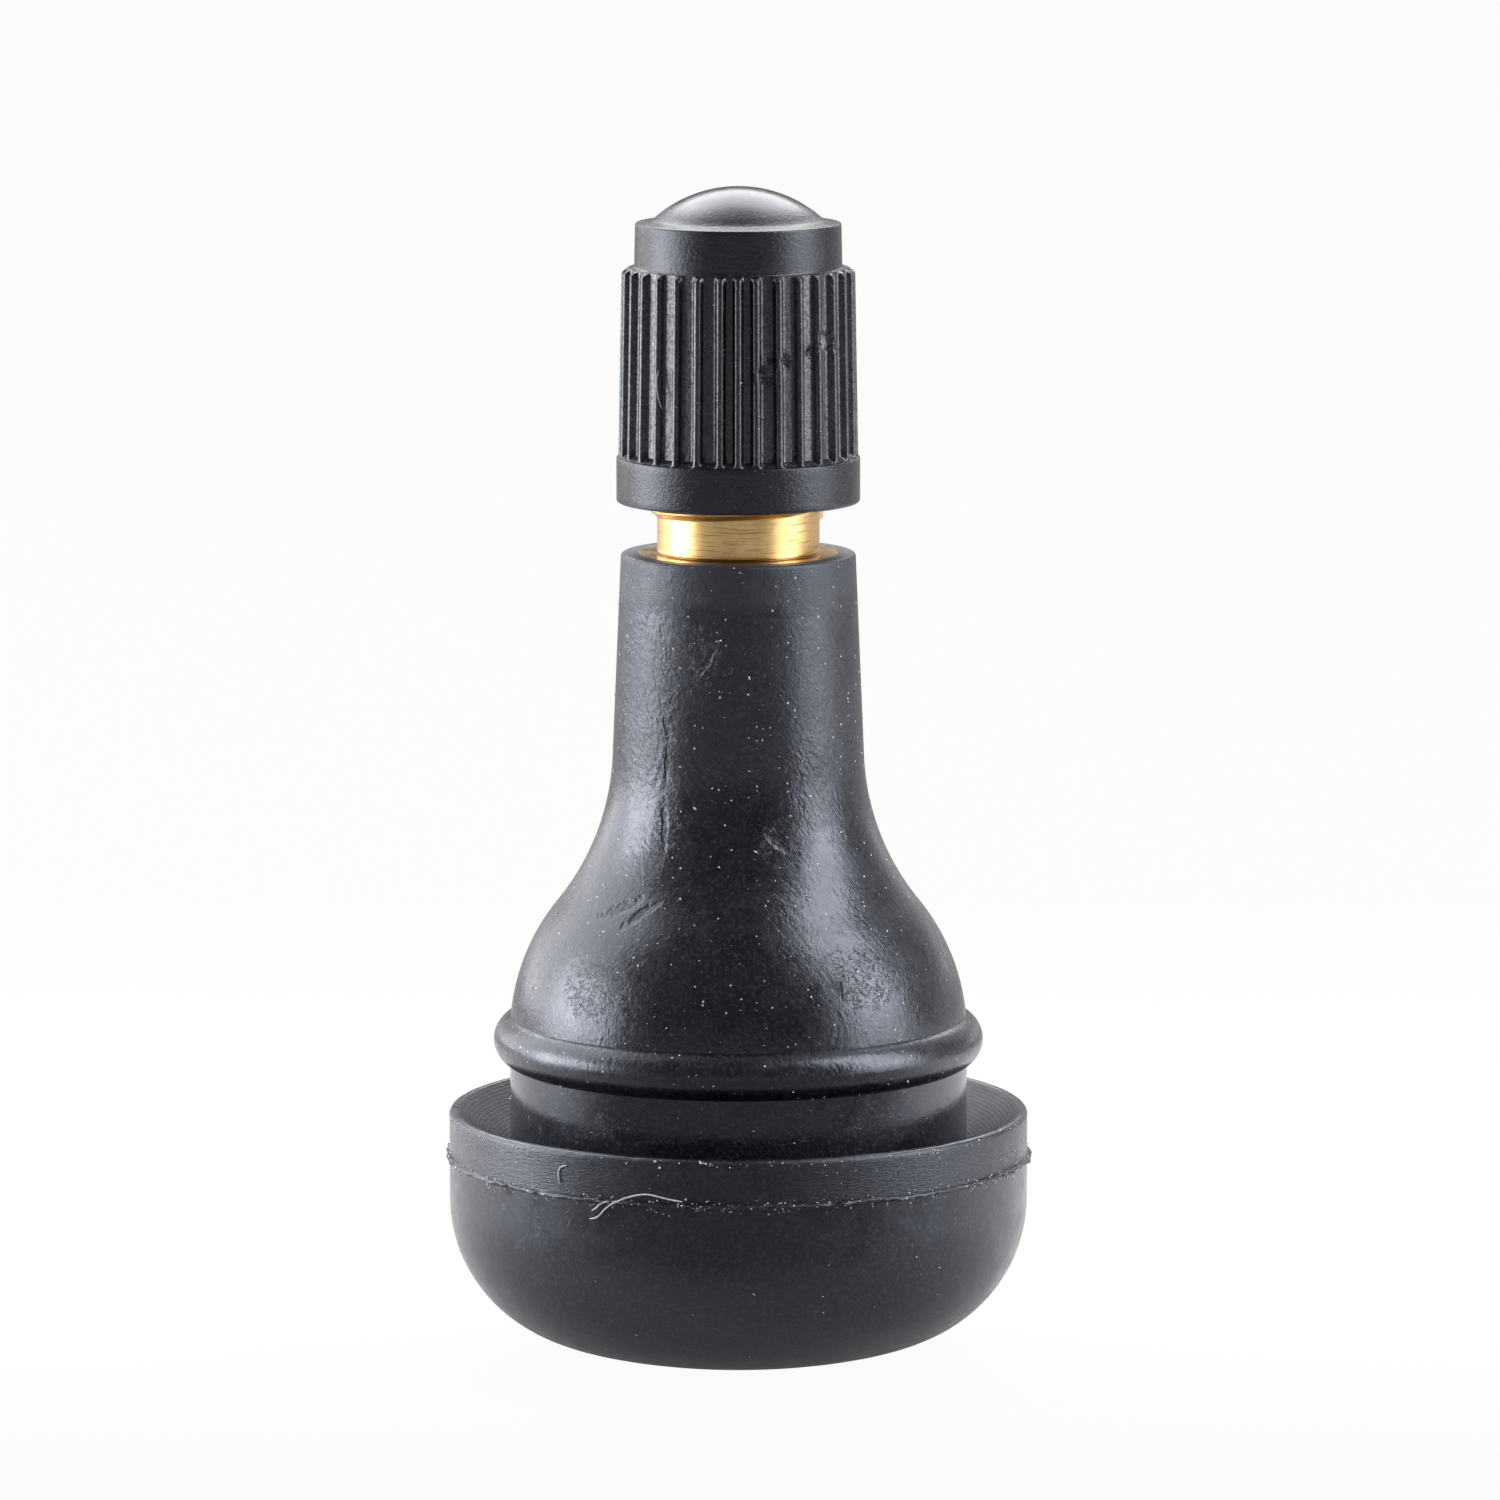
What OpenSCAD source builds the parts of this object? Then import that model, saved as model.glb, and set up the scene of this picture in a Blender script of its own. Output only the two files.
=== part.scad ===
// Snap-in rubber tyre valve for a large rim hole, with a spring core and a screwed dust cap.
// The axis is Z, and the foot of the rubber base stands on Z = 0. Threads are plain cylinders
// at their outer diameter.

/* [Rubber body] */
// Height of the rubber body, from its foot to the top of its neck
body_h = 31.87; // [30:0.01:36]
// Diameter of the sealing base
base_d = 22.95; // [21.5:0.05:26]
// Diameter of the flat foot under the base
foot_d = 6; // [5.6:0.1:8]
// Radius of the base's shallow underside
underside_r = 15.5; // [13:0.1:22]
// Radius of the corner between the underside and the straight side
corner_r = 5.68; // [4.5:0.01:6]
// Height of the mould flash above the foot
flash_h = 7.87; // [7.5:0.01:9]
// How far the mould flash stands out of the side
flash_out = 0.25; // [0.1:0.05:0.4]
// Thickness of the mould flash
flash_t = 0.24; // [0.1:0.02:0.4]
// Height of the lip above the mould flash
lip_h = 1.8; // [1.2:0.1:2.5]
// Rounding of the lip's outer edge
lip_round = 0.2; // [0.1:0.05:0.4]
// Width of the flat on top of the lip
lip_flat = 0.12; // [0.05:0.01:0.4]
// Depth of the dished face inside the lip
dish_depth = 1.6; // [0.8:0.1:2]
// Diameter of the groove that holds the wheel rim
groove_d = 18.12; // [17.5:0.02:19]
// Height of the gap between the lip and the snap bead
rim_gap = 1.89; // [1.5:0.01:2.5]
// How far the snap bead stands out of the groove
bead_out = 0.64; // [0.3:0.02:0.8]
// Radius of the snap bead's section
bead_r = 1; // [0.9:0.05:1.2]
// How far the bulb steps in from the groove's wall, above the bead
bulb_step = 0.03; // [0:0.01:0.3]
// Lean of the bulb where it leaves the bead, in degrees
bulb_lean = 5.5; // [2:0.5:10]
// Radius of the bulb's round shoulder
bulb_curve_r = 8.4; // [7.5:0.1:9.5]
// Radius of the hollow flare between the bulb and the neck
flare_curve_r = 10; // [8:0.1:12]
// Draft of the neck, in degrees
neck_draft = 2.4; // [1.5:0.1:3]
// Wall of the neck around the stem's collar
neck_wall = 0.69; // [0.5:0.01:1.2]
// Rounding of the neck's top edge
neck_round = 0.15; // [0.1:0.01:0.3]

/* [Brass stem] */
// Height of the stem's tip above the rubber neck
tip_h = 10.63; // [10:0.01:13]
// Outer diameter of the cap thread
thread_d = 7.75; // [7.6:0.05:8.2]
// Length of the lead chamfer at the tip
tip_chamfer = 0.45; // [0.2:0.05:0.6]
// Height of the thread relief above the neck
relief_h = 1.05; // [0.8:0.05:1.2]
// Diameter of the thread relief
relief_d = 6.4; // [6.2:0.05:6.8]
// Radius of the fillet at the foot of the relief
relief_fillet = 0.3; // [0.1:0.05:0.5]
// Diameter of the collar at the mouth of the neck
collar_d = 7.88; // [7.7:0.02:8.4]
// Thickness of the collar
collar_t = 1.2; // [0.8:0.1:2]
// Diameter of the shank inside the rubber
shank_d = 6.6; // [6.3:0.1:7.2]
// Height of the shank's lower end above the foot
shank_z = 12.5; // [11:0.1:14]
// Number of grip grooves around the shank
grip_n = 4; // [2:1:6]
// Width of each grip groove
grip_w = 1.2; // [0.8:0.1:1.6]
// Depth of each grip groove
grip_depth = 0.35; // [0.2:0.05:0.5]
// Diameter of the air passage
air_d = 4.1; // [4:0.05:4.3]
// Flare of the air passage's mouth under the foot
air_flare = 0.4; // [0.2:0.05:0.5]
// Diameter of the core thread's bore
core_bore_d = 5.3; // [5.2:0.05:5.5]
// Diameter of the plain mouth above the core thread
mouth_d = 5.7; // [5.6:0.05:6]
// Depth of the plain mouth
mouth_depth = 1.5; // [1:0.1:2]
// Depth of the core thread's end below the tip
core_depth = 7.9; // [7.5:0.1:9]
// Diameter at the top of the tapered seat
seat_d = 4.7; // [4.6:0.05:4.9]
// Height of the tapered seat
seat_h = 2; // [1.8:0.1:2.5]

/* [Valve core] */
// Radial clearance of the core thread
core_clear = 0.05; // [0.02:0.01:0.1]
// Lift of the plug off the end of the core thread
plug_lift = 0.25; // [0.1:0.05:0.5]
// Length of the plug's threaded part
plug_thread_h = 2.6; // [2.2:0.1:3]
// Height of the plug's head above its thread
plug_head_h = 2.2; // [2:0.1:2.6]
// Diameter of the plug's head
plug_head_d = 4.2; // [3.8:0.1:4.6]
// Distance across the flats of the plug's head
plug_flats = 2.2; // [2:0.1:2.4]
// Thickness of the bridge that guides the pin
bridge_t = 0.8; // [0.6:0.1:1]
// Diameter of the passage up the plug and the spring chamber in the barrel
chamber_d = 2.7; // [2.6:0.05:2.9]
// Outer diameter of the barrel
barrel_d = 3.6; // [3.5:0.05:3.7]
// Length of the barrel below the plug
barrel_h = 9.4; // [9:0.1:10.5]
// How far the barrel's top flange stands out
barrel_flange = 0.25; // [0.15:0.05:0.3]
// Thickness of the barrel's top flange
barrel_flange_t = 0.6; // [0.4:0.1:0.8]
// Thickness of the rolled lip that holds the flange in the plug
rolled_lip_t = 0.35; // [0.25:0.05:0.5]
// Thickness of the barrel's floor under the spring
barrel_floor_t = 0.9; // [0.6:0.1:1.2]
// Diameter of the port in the barrel's floor
port_d = 1.7; // [1.6:0.05:1.8]
// Height of the tapered gasket
gasket_h = 1.6; // [1.4:0.1:1.8]
// Thickness of the barrel's collar under the gasket
gasket_rest_t = 0.4; // [0.3:0.1:0.5]
// Clearance around seated pieces of the core
seat_clear = 0.03; // [0.02:0.01:0.05]
// Diameter of the pin
pin_d = 1; // [0.8:0.05:1.1]
// Radial clearance of the pin in the bridge
pin_clear = 0.06; // [0.04:0.01:0.1]
// Depth of the pin's top below the stem's tip
pin_drop = 0.3; // [0.2:0.05:0.5]
// Diameter of the pin's head
pin_head_d = 1.8; // [1.5:0.05:2]
// Height of the pin's head
pin_head_h = 0.8; // [0.5:0.1:0.9]
// Diameter of the pin's collar above the spring
pin_collar_d = 2.4; // [2.3:0.05:2.4]
// Thickness of the pin's collar
pin_collar_t = 0.4; // [0.3:0.1:0.5]
// Diameter of the spring's wire
wire_d = 0.32; // [0.25:0.01:0.36]
// Mean diameter of the spring
spring_d = 2; // [1.95:0.05:2.05]
// Length of the spring, valve closed
spring_h = 6.9; // [6.6:0.1:7.2]
// Number of turns of the spring
spring_turns = 10; // [8:1:12]
// Outer diameter of the cup
cup_d = 3.5; // [3.4:0.05:3.6]
// Wall and floor of the cup
cup_wall = 0.25; // [0.2:0.05:0.3]
// Thickness of the rubber ring in the cup
cup_seal_t = 0.9; // [0.8:0.1:1.2]
// How far the rubber ring stands above the cup's edge
cup_seal_out = 0.3; // [0.2:0.05:0.4]
// Diameter of the riveted end under the cup
rivet_d = 1.7; // [1.5:0.1:2]
// Height of the riveted end under the cup
rivet_h = 0.4; // [0.3:0.1:0.6]

/* [Dust cap] */
// Gap between the rubber neck and the cap's rim
cap_gap = 2.02; // [1.8:0.02:3]
// Radial clearance of the cap's thread
cap_clear = 0.08; // [0.05:0.01:0.1]
// Wall of the ribbed sleeve between the ribs
cap_wall = 0.48; // [0.4:0.01:0.8]
// Height of the ribs
rib_h = 0.28; // [0.2:0.02:0.4]
// Width of the ribs
rib_w = 0.36; // [0.25:0.01:0.45]
// Number of ribs in each mould half
rib_n = 15; // [11:1:17]
// Angle between the rib on a parting line and its neighbour, in degrees
parting_angle = 9; // [8:0.5:11]
// Chamfer of the ribs' tops
rib_chamfer = 0.19; // [0.1:0.01:0.3]
// Height of the plain band at the rim
band_h = 1.79; // [1:0.01:2.5]
// How far the plain band stands out of the ribs
band_out = 0.08; // [0.03:0.01:0.15]
// Edge chamfer of the plain band
band_chamfer = 0.15; // [0.05:0.05:0.25]
// Draft of the sleeve and the crown, in degrees
cap_draft = 1; // [0.5:0.1:1.2]
// Wall of the crown around the seal
crown_wall = 0.74; // [0.6:0.01:0.9]
// Height of the crown above the ribs
crown_h = 1.86; // [1.6:0.02:2.1]
// Rounding of the crown's edge
crown_round = 0.32; // [0.15:0.01:0.4]
// Thickness of the roof over the seal
roof_t = 1.2; // [1:0.01:1.6]
// Diameter of the dome on the roof
dome_d = 6.76; // [6:0.02:7]
// Height of the dome
dome_h = 1.32; // [0.8:0.02:1.5]
// Diameter of the hollow under the dome
hollow_d = 4; // [3:0.1:4.5]
// Depth of the hollow under the dome
hollow_depth = 1; // [0.6:0.1:1.2]
// Diameter of the seal washer
seal_washer_d = 6.6; // [6.4:0.05:6.8]
// Diameter of the seal washer's hole
seal_hole_d = 3; // [2.5:0.1:3.5]
// Thickness of the seal washer
seal_t = 1.2; // [1:0.1:1.6]
// Clearance around the seal washer
seal_gap = 0.04; // [0.02:0.01:0.08]

/* [Hidden] */
$fn = 96;
cut = 0.5;
curve_steps = 14;
edge_steps = 5;

base_r = base_d / 2;
foot_r = foot_d / 2;
underside_c = [foot_r, underside_r];
corner_x = base_r - corner_r;
corner_drop = sqrt(pow(underside_r - corner_r, 2) - pow(corner_x - foot_r, 2));
corner_c = [corner_x, underside_r - corner_drop];
corner_a = atan2(corner_c.y - underside_c.y, corner_c.x - underside_c.x);
lip_z = flash_h + lip_h;
groove_r = groove_d / 2;
bead_c = groove_r + bead_out - bead_r;
bead_z = lip_z + rim_gap + sqrt(pow(bead_r, 2) - pow(groove_r - bead_c, 2));
bulb_r = groove_r - bulb_step;
bead_low_a = -acos((groove_r - bead_c) / bead_r);
bead_top_a = acos((bulb_r - bead_c) / bead_r);
bulb_z = bead_z + bead_r * sin(bead_top_a);
neck_r = collar_d / 2 + neck_wall;

// The bulb's circle leaves the bead at the bulb's lean. The flare's circle touches both the
// bulb's circle and the neck's drafted line, so its centre solves a quadratic in height.
draft_t = tan(neck_draft);
bulb_c = [bulb_r - bulb_curve_r * cos(bulb_lean), bulb_z - bulb_curve_r * sin(bulb_lean)];
centres = bulb_curve_r + flare_curve_r;
flare_at_foot = neck_r + body_h * draft_t + flare_curve_r / cos(neck_draft) - bulb_c.x;
quad_a = 1 + pow(draft_t, 2);
quad_b = -2 * (flare_at_foot * draft_t + bulb_c.y);
quad_c = pow(flare_at_foot, 2) + pow(bulb_c.y, 2) - pow(centres, 2);
flare_z = (sqrt(pow(quad_b, 2) - 4 * quad_a * quad_c) - quad_b) / (2 * quad_a);
flare_c = [flare_at_foot + bulb_c.x - flare_z * draft_t, flare_z];
join_a = atan2(flare_c.y - bulb_c.y, flare_c.x - bulb_c.x);

tip_z = body_h + tip_h;
thread_r = thread_d / 2;
relief_r = relief_d / 2;
collar_r = collar_d / 2;
shank_r = shank_d / 2;
air_r = air_d / 2;
collar_z = body_h - collar_t;
grip_pitch = (collar_z - shank_z) / (grip_n + 1);

core_z = tip_z - core_depth;
seat_z = core_z - seat_h;
seat_slope = (seat_d - air_d) / 2 / seat_h;
plug_z = core_z + plug_lift;
plug_r = core_bore_d / 2 - core_clear;
plug_neck_z = plug_z + plug_thread_h;
plug_top_z = plug_neck_z + plug_head_h;
barrel_r = barrel_d / 2;
flange_r = barrel_r + barrel_flange;
flange_z = plug_z + rolled_lip_t;
barrel_z = plug_z - barrel_h;
gasket_z = plug_z - gasket_h;
spring_z = barrel_z + barrel_floor_t;
pin_collar_z = spring_z + spring_h;
pin_top_z = tip_z - pin_drop;
cup_seal_z = barrel_z - seat_clear - cup_seal_t;
cup_z = cup_seal_z - cup_wall;
cup_edge_z = barrel_z - seat_clear - cup_seal_out;

rim_z = body_h + cap_gap;
band_z = rim_z + band_h;
cap_bore_r = thread_r + cap_clear;
sleeve_r = cap_bore_r + cap_wall;
rib_r = sleeve_r + rib_h;
band_r = rib_r + band_out;
seal_r = seal_washer_d / 2;
pocket_r = seal_r + seal_gap;
seal_z = tip_z + seal_gap;
ceiling_z = seal_z + seal_t + seal_gap;
shoulder_z = ceiling_z + roof_t;
rib_top_z = shoulder_z - crown_h;
sleeve_in = (rib_top_z - band_z) * tan(cap_draft);
crown_in = crown_h * tan(cap_draft);
crown_r = pocket_r + crown_wall;
dome_r = dome_d / 2;
dome_curve_r = (pow(dome_r, 2) + pow(dome_h, 2)) / (2 * dome_h);
dome_a = acos(dome_r / dome_curve_r);
rib_pitch = (180 - 2 * parting_angle) / (rib_n - 1);
rib_angles = [
    for (half = [0, 180])
        each concat([half], [for (i = [0:rib_n - 1]) half + parting_angle + i * rib_pitch])
];

// Points along an arc from one angle to another
function arc(centre, r, from, to, steps) =
    [for (i = [0:steps]) let (a = from + (to - from) * i / steps) centre + r * [cos(a), sin(a)]];

// A solid turned about the axis from a half profile
module turned(points) {
    rotate_extrude() polygon(points);
}

// A round hole along the axis, between two heights
module bore(r, low, high) {
    translate([0, 0, low]) cylinder(r = r, h = high - low);
}

// The stem's outside: grooved shank, collar, relief, thread and chamfered tip
module stem_blank() {
    fillet_c = [relief_r + relief_fillet, body_h + relief_fillet];
    runout_z = body_h + relief_h;
    difference() {
        turned(concat(
            [[0, shank_z], [shank_r, shank_z], [shank_r, collar_z], [collar_r, collar_z], [collar_r, body_h]],
            arc(fillet_c, relief_fillet, 270, 180, edge_steps),
            [
                [relief_r, runout_z],
                [thread_r, runout_z + thread_r - relief_r],
                [thread_r, tip_z - tip_chamfer],
                [thread_r - tip_chamfer, tip_z],
                [0, tip_z]
            ]
        ));
        for (i = [1:grip_n])
            translate([0, 0, shank_z + i * grip_pitch - grip_w / 2])
                difference() {
                    cylinder(r = shank_r + cut, h = grip_w);
                    translate([0, 0, -cut]) cylinder(r = shank_r - grip_depth, h = grip_w + 2 * cut);
                }
    }
}

// Moulded rubber: foot, bowl, flash, dished lip, rim groove, snap bead, bulb, flare and neck
module rubber_body() {
    lip_c = [base_r - lip_round, lip_z - lip_round];
    neck_c = [neck_r - neck_round, body_h - neck_round];
    color([0.13, 0.14, 0.15]) difference() {
        turned(concat(
            [[0, 0]],
            arc(underside_c, underside_r, 270, 360 + corner_a, edge_steps),
            arc(corner_c, corner_r, corner_a, 0, curve_steps),
            [
                [base_r, flash_h - flash_t],
                [base_r + flash_out, flash_h - flash_t / 4],
                [base_r + flash_out, flash_h + flash_t / 4],
                [base_r, flash_h + flash_t]
            ],
            arc(lip_c, lip_round, 0, 90, edge_steps),
            [[lip_c.x - lip_flat, lip_z], [groove_r, lip_z - dish_depth]],
            arc([bead_c, bead_z], bead_r, bead_low_a, bead_top_a, curve_steps),
            arc(bulb_c, bulb_curve_r, bulb_lean, join_a, curve_steps),
            arc(flare_c, flare_curve_r, join_a + 180, 180 + neck_draft, curve_steps),
            arc(neck_c, neck_round, 0, 90, edge_steps),
            [[0, body_h]]
        ));
        stem_blank();
        bore(air_r, -cut, shank_z + cut);
        translate([0, 0, -cut])
            cylinder(r1 = air_r + air_flare + cut, r2 = air_r, h = air_flare + cut);
    }
}

// Turned brass insert, bored for the air, the core's seat, the core's thread and the open mouth
module brass_stem() {
    mouth_z = tip_z - mouth_depth;
    color([0.80, 0.66, 0.36]) difference() {
        stem_blank();
        bore(air_r, shank_z - cut, seat_z + cut);
        translate([0, 0, seat_z]) cylinder(r1 = air_r, r2 = seat_d / 2, h = seat_h);
        bore(core_bore_d / 2, core_z, tip_z + cut);
        bore(mouth_d / 2, mouth_z, tip_z + cut);
    }
}

// Brass plug: threaded skirt rolled in around the barrel's flange, flatted head and pin bridge
module core_plug() {
    flange_room_z = flange_z + barrel_flange_t + seat_clear;
    color([0.78, 0.62, 0.32]) difference() {
        union() {
            bore(plug_r, plug_z, plug_neck_z);
            intersection() {
                bore(plug_head_d / 2, plug_neck_z, plug_top_z);
                translate([-plug_head_d / 2, -plug_flats / 2, plug_neck_z])
                    cube([plug_head_d, plug_flats, plug_head_h]);
            }
        }
        bore(barrel_r + seat_clear, plug_z - cut, flange_room_z);
        bore(flange_r + seat_clear, flange_z, flange_room_z);
        bore(chamber_d / 2, plug_z - cut, plug_top_z - bridge_t);
        bore(pin_d / 2 + pin_clear, plug_z, plug_top_z + cut);
    }
}

// Brass barrel: flange in the plug, rest for the gasket, spring chamber and port
module core_barrel() {
    color([0.82, 0.68, 0.40]) difference() {
        union() {
            bore(barrel_r, barrel_z, flange_z + barrel_flange_t);
            bore(flange_r, flange_z + seat_clear, flange_z + barrel_flange_t);
            bore(air_r - seat_clear, gasket_z - gasket_rest_t, gasket_z);
        }
        bore(chamber_d / 2, spring_z, flange_z + barrel_flange_t + cut);
        bore(port_d / 2, barrel_z - cut, spring_z + cut);
    }
}

// Tapered gasket between the barrel and the stem's seat
module core_gasket() {
    low_r = air_r + (gasket_z - seat_z) * seat_slope - seat_clear;
    color([0.75, 0.12, 0.10]) difference() {
        translate([0, 0, gasket_z])
            cylinder(r1 = low_r, r2 = low_r + gasket_h * seat_slope, h = gasket_h);
        bore(barrel_r + seat_clear, gasket_z - cut, plug_z + cut);
    }
}

// Coil spring with closed end turns, swept as rings of points along a helix
module core_spring() {
    turn_steps = 16;
    wire_sides = 8;
    wire_r = wire_d / 2;
    end_rise = wire_d + seat_clear;
    low = spring_z + wire_r + seat_clear;
    rise = spring_h - wire_d - 2 * seat_clear;
    rings = spring_turns * turn_steps;
    function lift(turn) =
        turn < 1 ? turn * end_rise :
        turn > spring_turns - 1 ? rise - (spring_turns - turn) * end_rise :
        end_rise + (turn - 1) * (rise - 2 * end_rise) / (spring_turns - 2);
    points = [
        for (i = [0:rings], j = [0:wire_sides - 1])
            let (
                turn = i / turn_steps,
                side = 360 * j / wire_sides,
                r = spring_d / 2 + wire_r * cos(side)
            )
            [r * cos(360 * turn), r * sin(360 * turn), low + lift(turn) + wire_r * sin(side)]
    ];
    walls = [
        for (i = [0:rings - 1], j = [0:wire_sides - 1])
            let (k = (j + 1) % wire_sides, a = i * wire_sides, b = a + wire_sides)
            [a + j, a + k, b + k, b + j]
    ];
    start = [for (j = [0:wire_sides - 1]) wire_sides - 1 - j];
    end = [for (j = [0:wire_sides - 1]) rings * wire_sides + j];
    color([0.70, 0.71, 0.73]) polyhedron(points, concat([start], walls, [end]));
}

// Steel pin: head above the bridge, collar on the spring and riveted end under the cup
module core_pin() {
    color([0.82, 0.83, 0.84]) union() {
        bore(pin_d / 2, cup_z - rivet_h, pin_top_z);
        bore(pin_head_d / 2, pin_top_z - pin_head_h, pin_top_z);
        bore(pin_collar_d / 2, pin_collar_z, pin_collar_z + pin_collar_t);
        bore(rivet_d / 2, cup_z - rivet_h, cup_z);
    }
}

// Brass cup that carries the rubber ring at the pin's lower end
module core_cup() {
    color([0.80, 0.66, 0.36]) difference() {
        bore(cup_d / 2, cup_z, cup_edge_z);
        bore(cup_d / 2 - cup_wall, cup_seal_z, cup_edge_z + cut);
        bore(pin_d / 2, cup_z - cut, cup_edge_z);
    }
}

// Rubber ring that closes against the barrel's lower edge
module core_cup_seal() {
    color([0.12, 0.12, 0.13]) difference() {
        bore(cup_d / 2 - cup_wall - seat_clear, cup_seal_z, cup_seal_z + cup_seal_t);
        bore(pin_d / 2 + seat_clear, cup_seal_z - cut, cup_seal_z + cup_seal_t + cut);
    }
}

// Ribs of both mould halves, trimmed to the drafted and chamfered outer form of the sleeve
module cap_ribs() {
    rib_h_all = rib_top_z - band_z;
    top_r = rib_r - sleeve_in;
    intersection() {
        turned([
            [0, band_z - band_chamfer],
            [rib_r, band_z - band_chamfer],
            [rib_r, band_z],
            [top_r, rib_top_z - rib_chamfer],
            [top_r - rib_chamfer, rib_top_z],
            [0, rib_top_z]
        ]);
        union() {
            for (a = rib_angles)
                rotate([0, 0, a - 90])
                    translate([cap_bore_r, -rib_w / 2, band_z - band_chamfer])
                        cube([band_r - cap_bore_r, rib_w, rib_h_all + band_chamfer]);
        }
    }
}

// Moulded cap: plain band, ribbed sleeve, crown and dome over a thread bore and a seal pocket
module dust_cap() {
    crown_c = [crown_r - crown_in - crown_round, shoulder_z - crown_round];
    dome_c = [0, shoulder_z + dome_h - dome_curve_r];
    bore_top_z = tip_z;
    color([0.10, 0.11, 0.13]) difference() {
        union() {
            turned(concat(
                [
                    [0, rim_z],
                    [band_r - band_chamfer, rim_z],
                    [band_r, rim_z + band_chamfer],
                    [band_r, band_z],
                    [sleeve_r, band_z],
                    [sleeve_r - sleeve_in, rib_top_z],
                    [crown_r, rib_top_z]
                ],
                arc(crown_c, crown_round, 0, 90, edge_steps),
                arc(dome_c, dome_curve_r, dome_a, 90, curve_steps)
            ));
            cap_ribs();
        }
        bore(cap_bore_r, rim_z - cut, bore_top_z);
        bore(pocket_r, bore_top_z - cut, ceiling_z);
        translate([0, 0, ceiling_z - cut])
            cylinder(d1 = hollow_d + 2 * cut, d2 = hollow_d - 2 * hollow_depth, h = hollow_depth + cut);
    }
}

// Rubber washer between the stem's tip and the cap's roof
module cap_seal() {
    color([0.15, 0.15, 0.16]) difference() {
        bore(seal_r, seal_z, seal_z + seal_t);
        bore(seal_hole_d / 2, seal_z - cut, seal_z + seal_t + cut);
    }
}

rubber_body();
brass_stem();
core_plug();
core_barrel();
core_gasket();
core_spring();
core_pin();
core_cup();
core_cup_seal();
dust_cap();
cap_seal();
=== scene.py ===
import math

import bmesh
import bpy
import numpy as np
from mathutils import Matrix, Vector


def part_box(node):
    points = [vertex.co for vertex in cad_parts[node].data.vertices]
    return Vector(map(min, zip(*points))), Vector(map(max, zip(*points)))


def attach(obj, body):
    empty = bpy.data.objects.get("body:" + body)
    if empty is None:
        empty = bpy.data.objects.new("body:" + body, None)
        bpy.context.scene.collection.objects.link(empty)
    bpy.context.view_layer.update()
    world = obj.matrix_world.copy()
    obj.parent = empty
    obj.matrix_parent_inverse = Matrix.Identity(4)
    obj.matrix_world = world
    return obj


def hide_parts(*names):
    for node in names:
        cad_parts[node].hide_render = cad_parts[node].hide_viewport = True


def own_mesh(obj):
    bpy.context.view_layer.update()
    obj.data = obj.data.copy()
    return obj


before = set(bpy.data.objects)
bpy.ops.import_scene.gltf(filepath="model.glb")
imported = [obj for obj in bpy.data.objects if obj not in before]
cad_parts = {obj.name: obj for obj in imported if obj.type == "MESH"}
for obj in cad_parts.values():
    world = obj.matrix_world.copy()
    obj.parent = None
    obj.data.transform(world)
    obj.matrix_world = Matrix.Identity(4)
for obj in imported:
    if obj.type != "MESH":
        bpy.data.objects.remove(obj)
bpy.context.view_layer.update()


# Rubber body
# One moulding of black rubber, bonded round the brass insert in a split mould. It snaps into the
# rim's hole between the dished lip and the bead, and a torn line of flash shows where the mould parted.

MM = 0.001
MERGE_DISTANCE = 1e-7


def arc(centre, r, start, end, steps):
    """Points on an arc in the plane of radius and height, between two angles in degrees."""
    angles = np.radians(np.linspace(start, end, steps + 1))
    return [(centre[0] + r * math.cos(a), centre[1] + r * math.sin(a)) for a in angles]


def run(start, end, step):
    """Evenly spaced points on a straight stretch, without its last point."""
    count = max(1, round(math.dist(start, end) / step))
    return [tuple(np.add(start, np.subtract(end, start) * i / count)) for i in range(count)]


def ripple(turn, waves, seed):
    """A smooth uneven wave round the axis, about -1 to 1, from sines that close on themselves."""
    draw = np.random.default_rng(seed)
    total = np.zeros_like(turn)
    for wave in waves:
        total += np.sin(wave * turn + draw.uniform(0, 2 * math.pi))
    return total / math.sqrt(len(waves))


def solid(name, points, faces, sharp=50):
    """A piece from points in millimetres, shaded smooth up to its sharp edges."""
    mesh = bpy.data.meshes.new(name)
    mesh.from_pydata((np.reshape(points, (-1, 3)) * MM).tolist(), [], faces)
    clean = bmesh.new()
    clean.from_mesh(mesh)
    bmesh.ops.remove_doubles(clean, verts=clean.verts, dist=MERGE_DISTANCE)
    clean.to_mesh(mesh)
    clean.free()
    mesh.polygons.foreach_set("use_smooth", [True] * len(mesh.polygons))
    mesh.set_sharp_from_angle(angle=math.radians(sharp))
    piece = bpy.data.objects.new(name, mesh)
    bpy.context.scene.collection.objects.link(piece)
    return piece


def around(count):
    """Even angles all the way round."""
    return np.linspace(0, 2 * math.pi, count, endpoint=False)


def turned(name, outline, turn, shape=None, climb=None):
    """A solid turned about the axis. Its outline runs up the outside and down the inside, turn has the
    angles round it, and shape may move its radii and heights. Climb has the row that each row of the
    outline joins after one turn, where the rows wind up a thread."""
    r, z = np.array(outline).T
    radius = np.repeat(r[:, None], len(turn), axis=1)
    height = np.repeat(z[:, None], len(turn), axis=1)
    if shape:
        radius, height = shape(turn[None, :], radius, height)
    points = np.stack([radius * np.cos(turn), radius * np.sin(turn), height], axis=-1)
    index = np.arange(len(r) * len(turn)).reshape(len(r), len(turn))
    next_index = np.roll(index, -1, axis=1)
    if climb is not None:
        next_index[:, -1] = index[climb, 0]
    here = np.flatnonzero(np.maximum(r, np.roll(r, -1)) > 0)
    there = (here + 1) % len(r)
    corners = (index[here], next_index[here], next_index[there], index[there])
    return solid(name, points, np.stack(corners, axis=-1).reshape(-1, 4).tolist())


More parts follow.
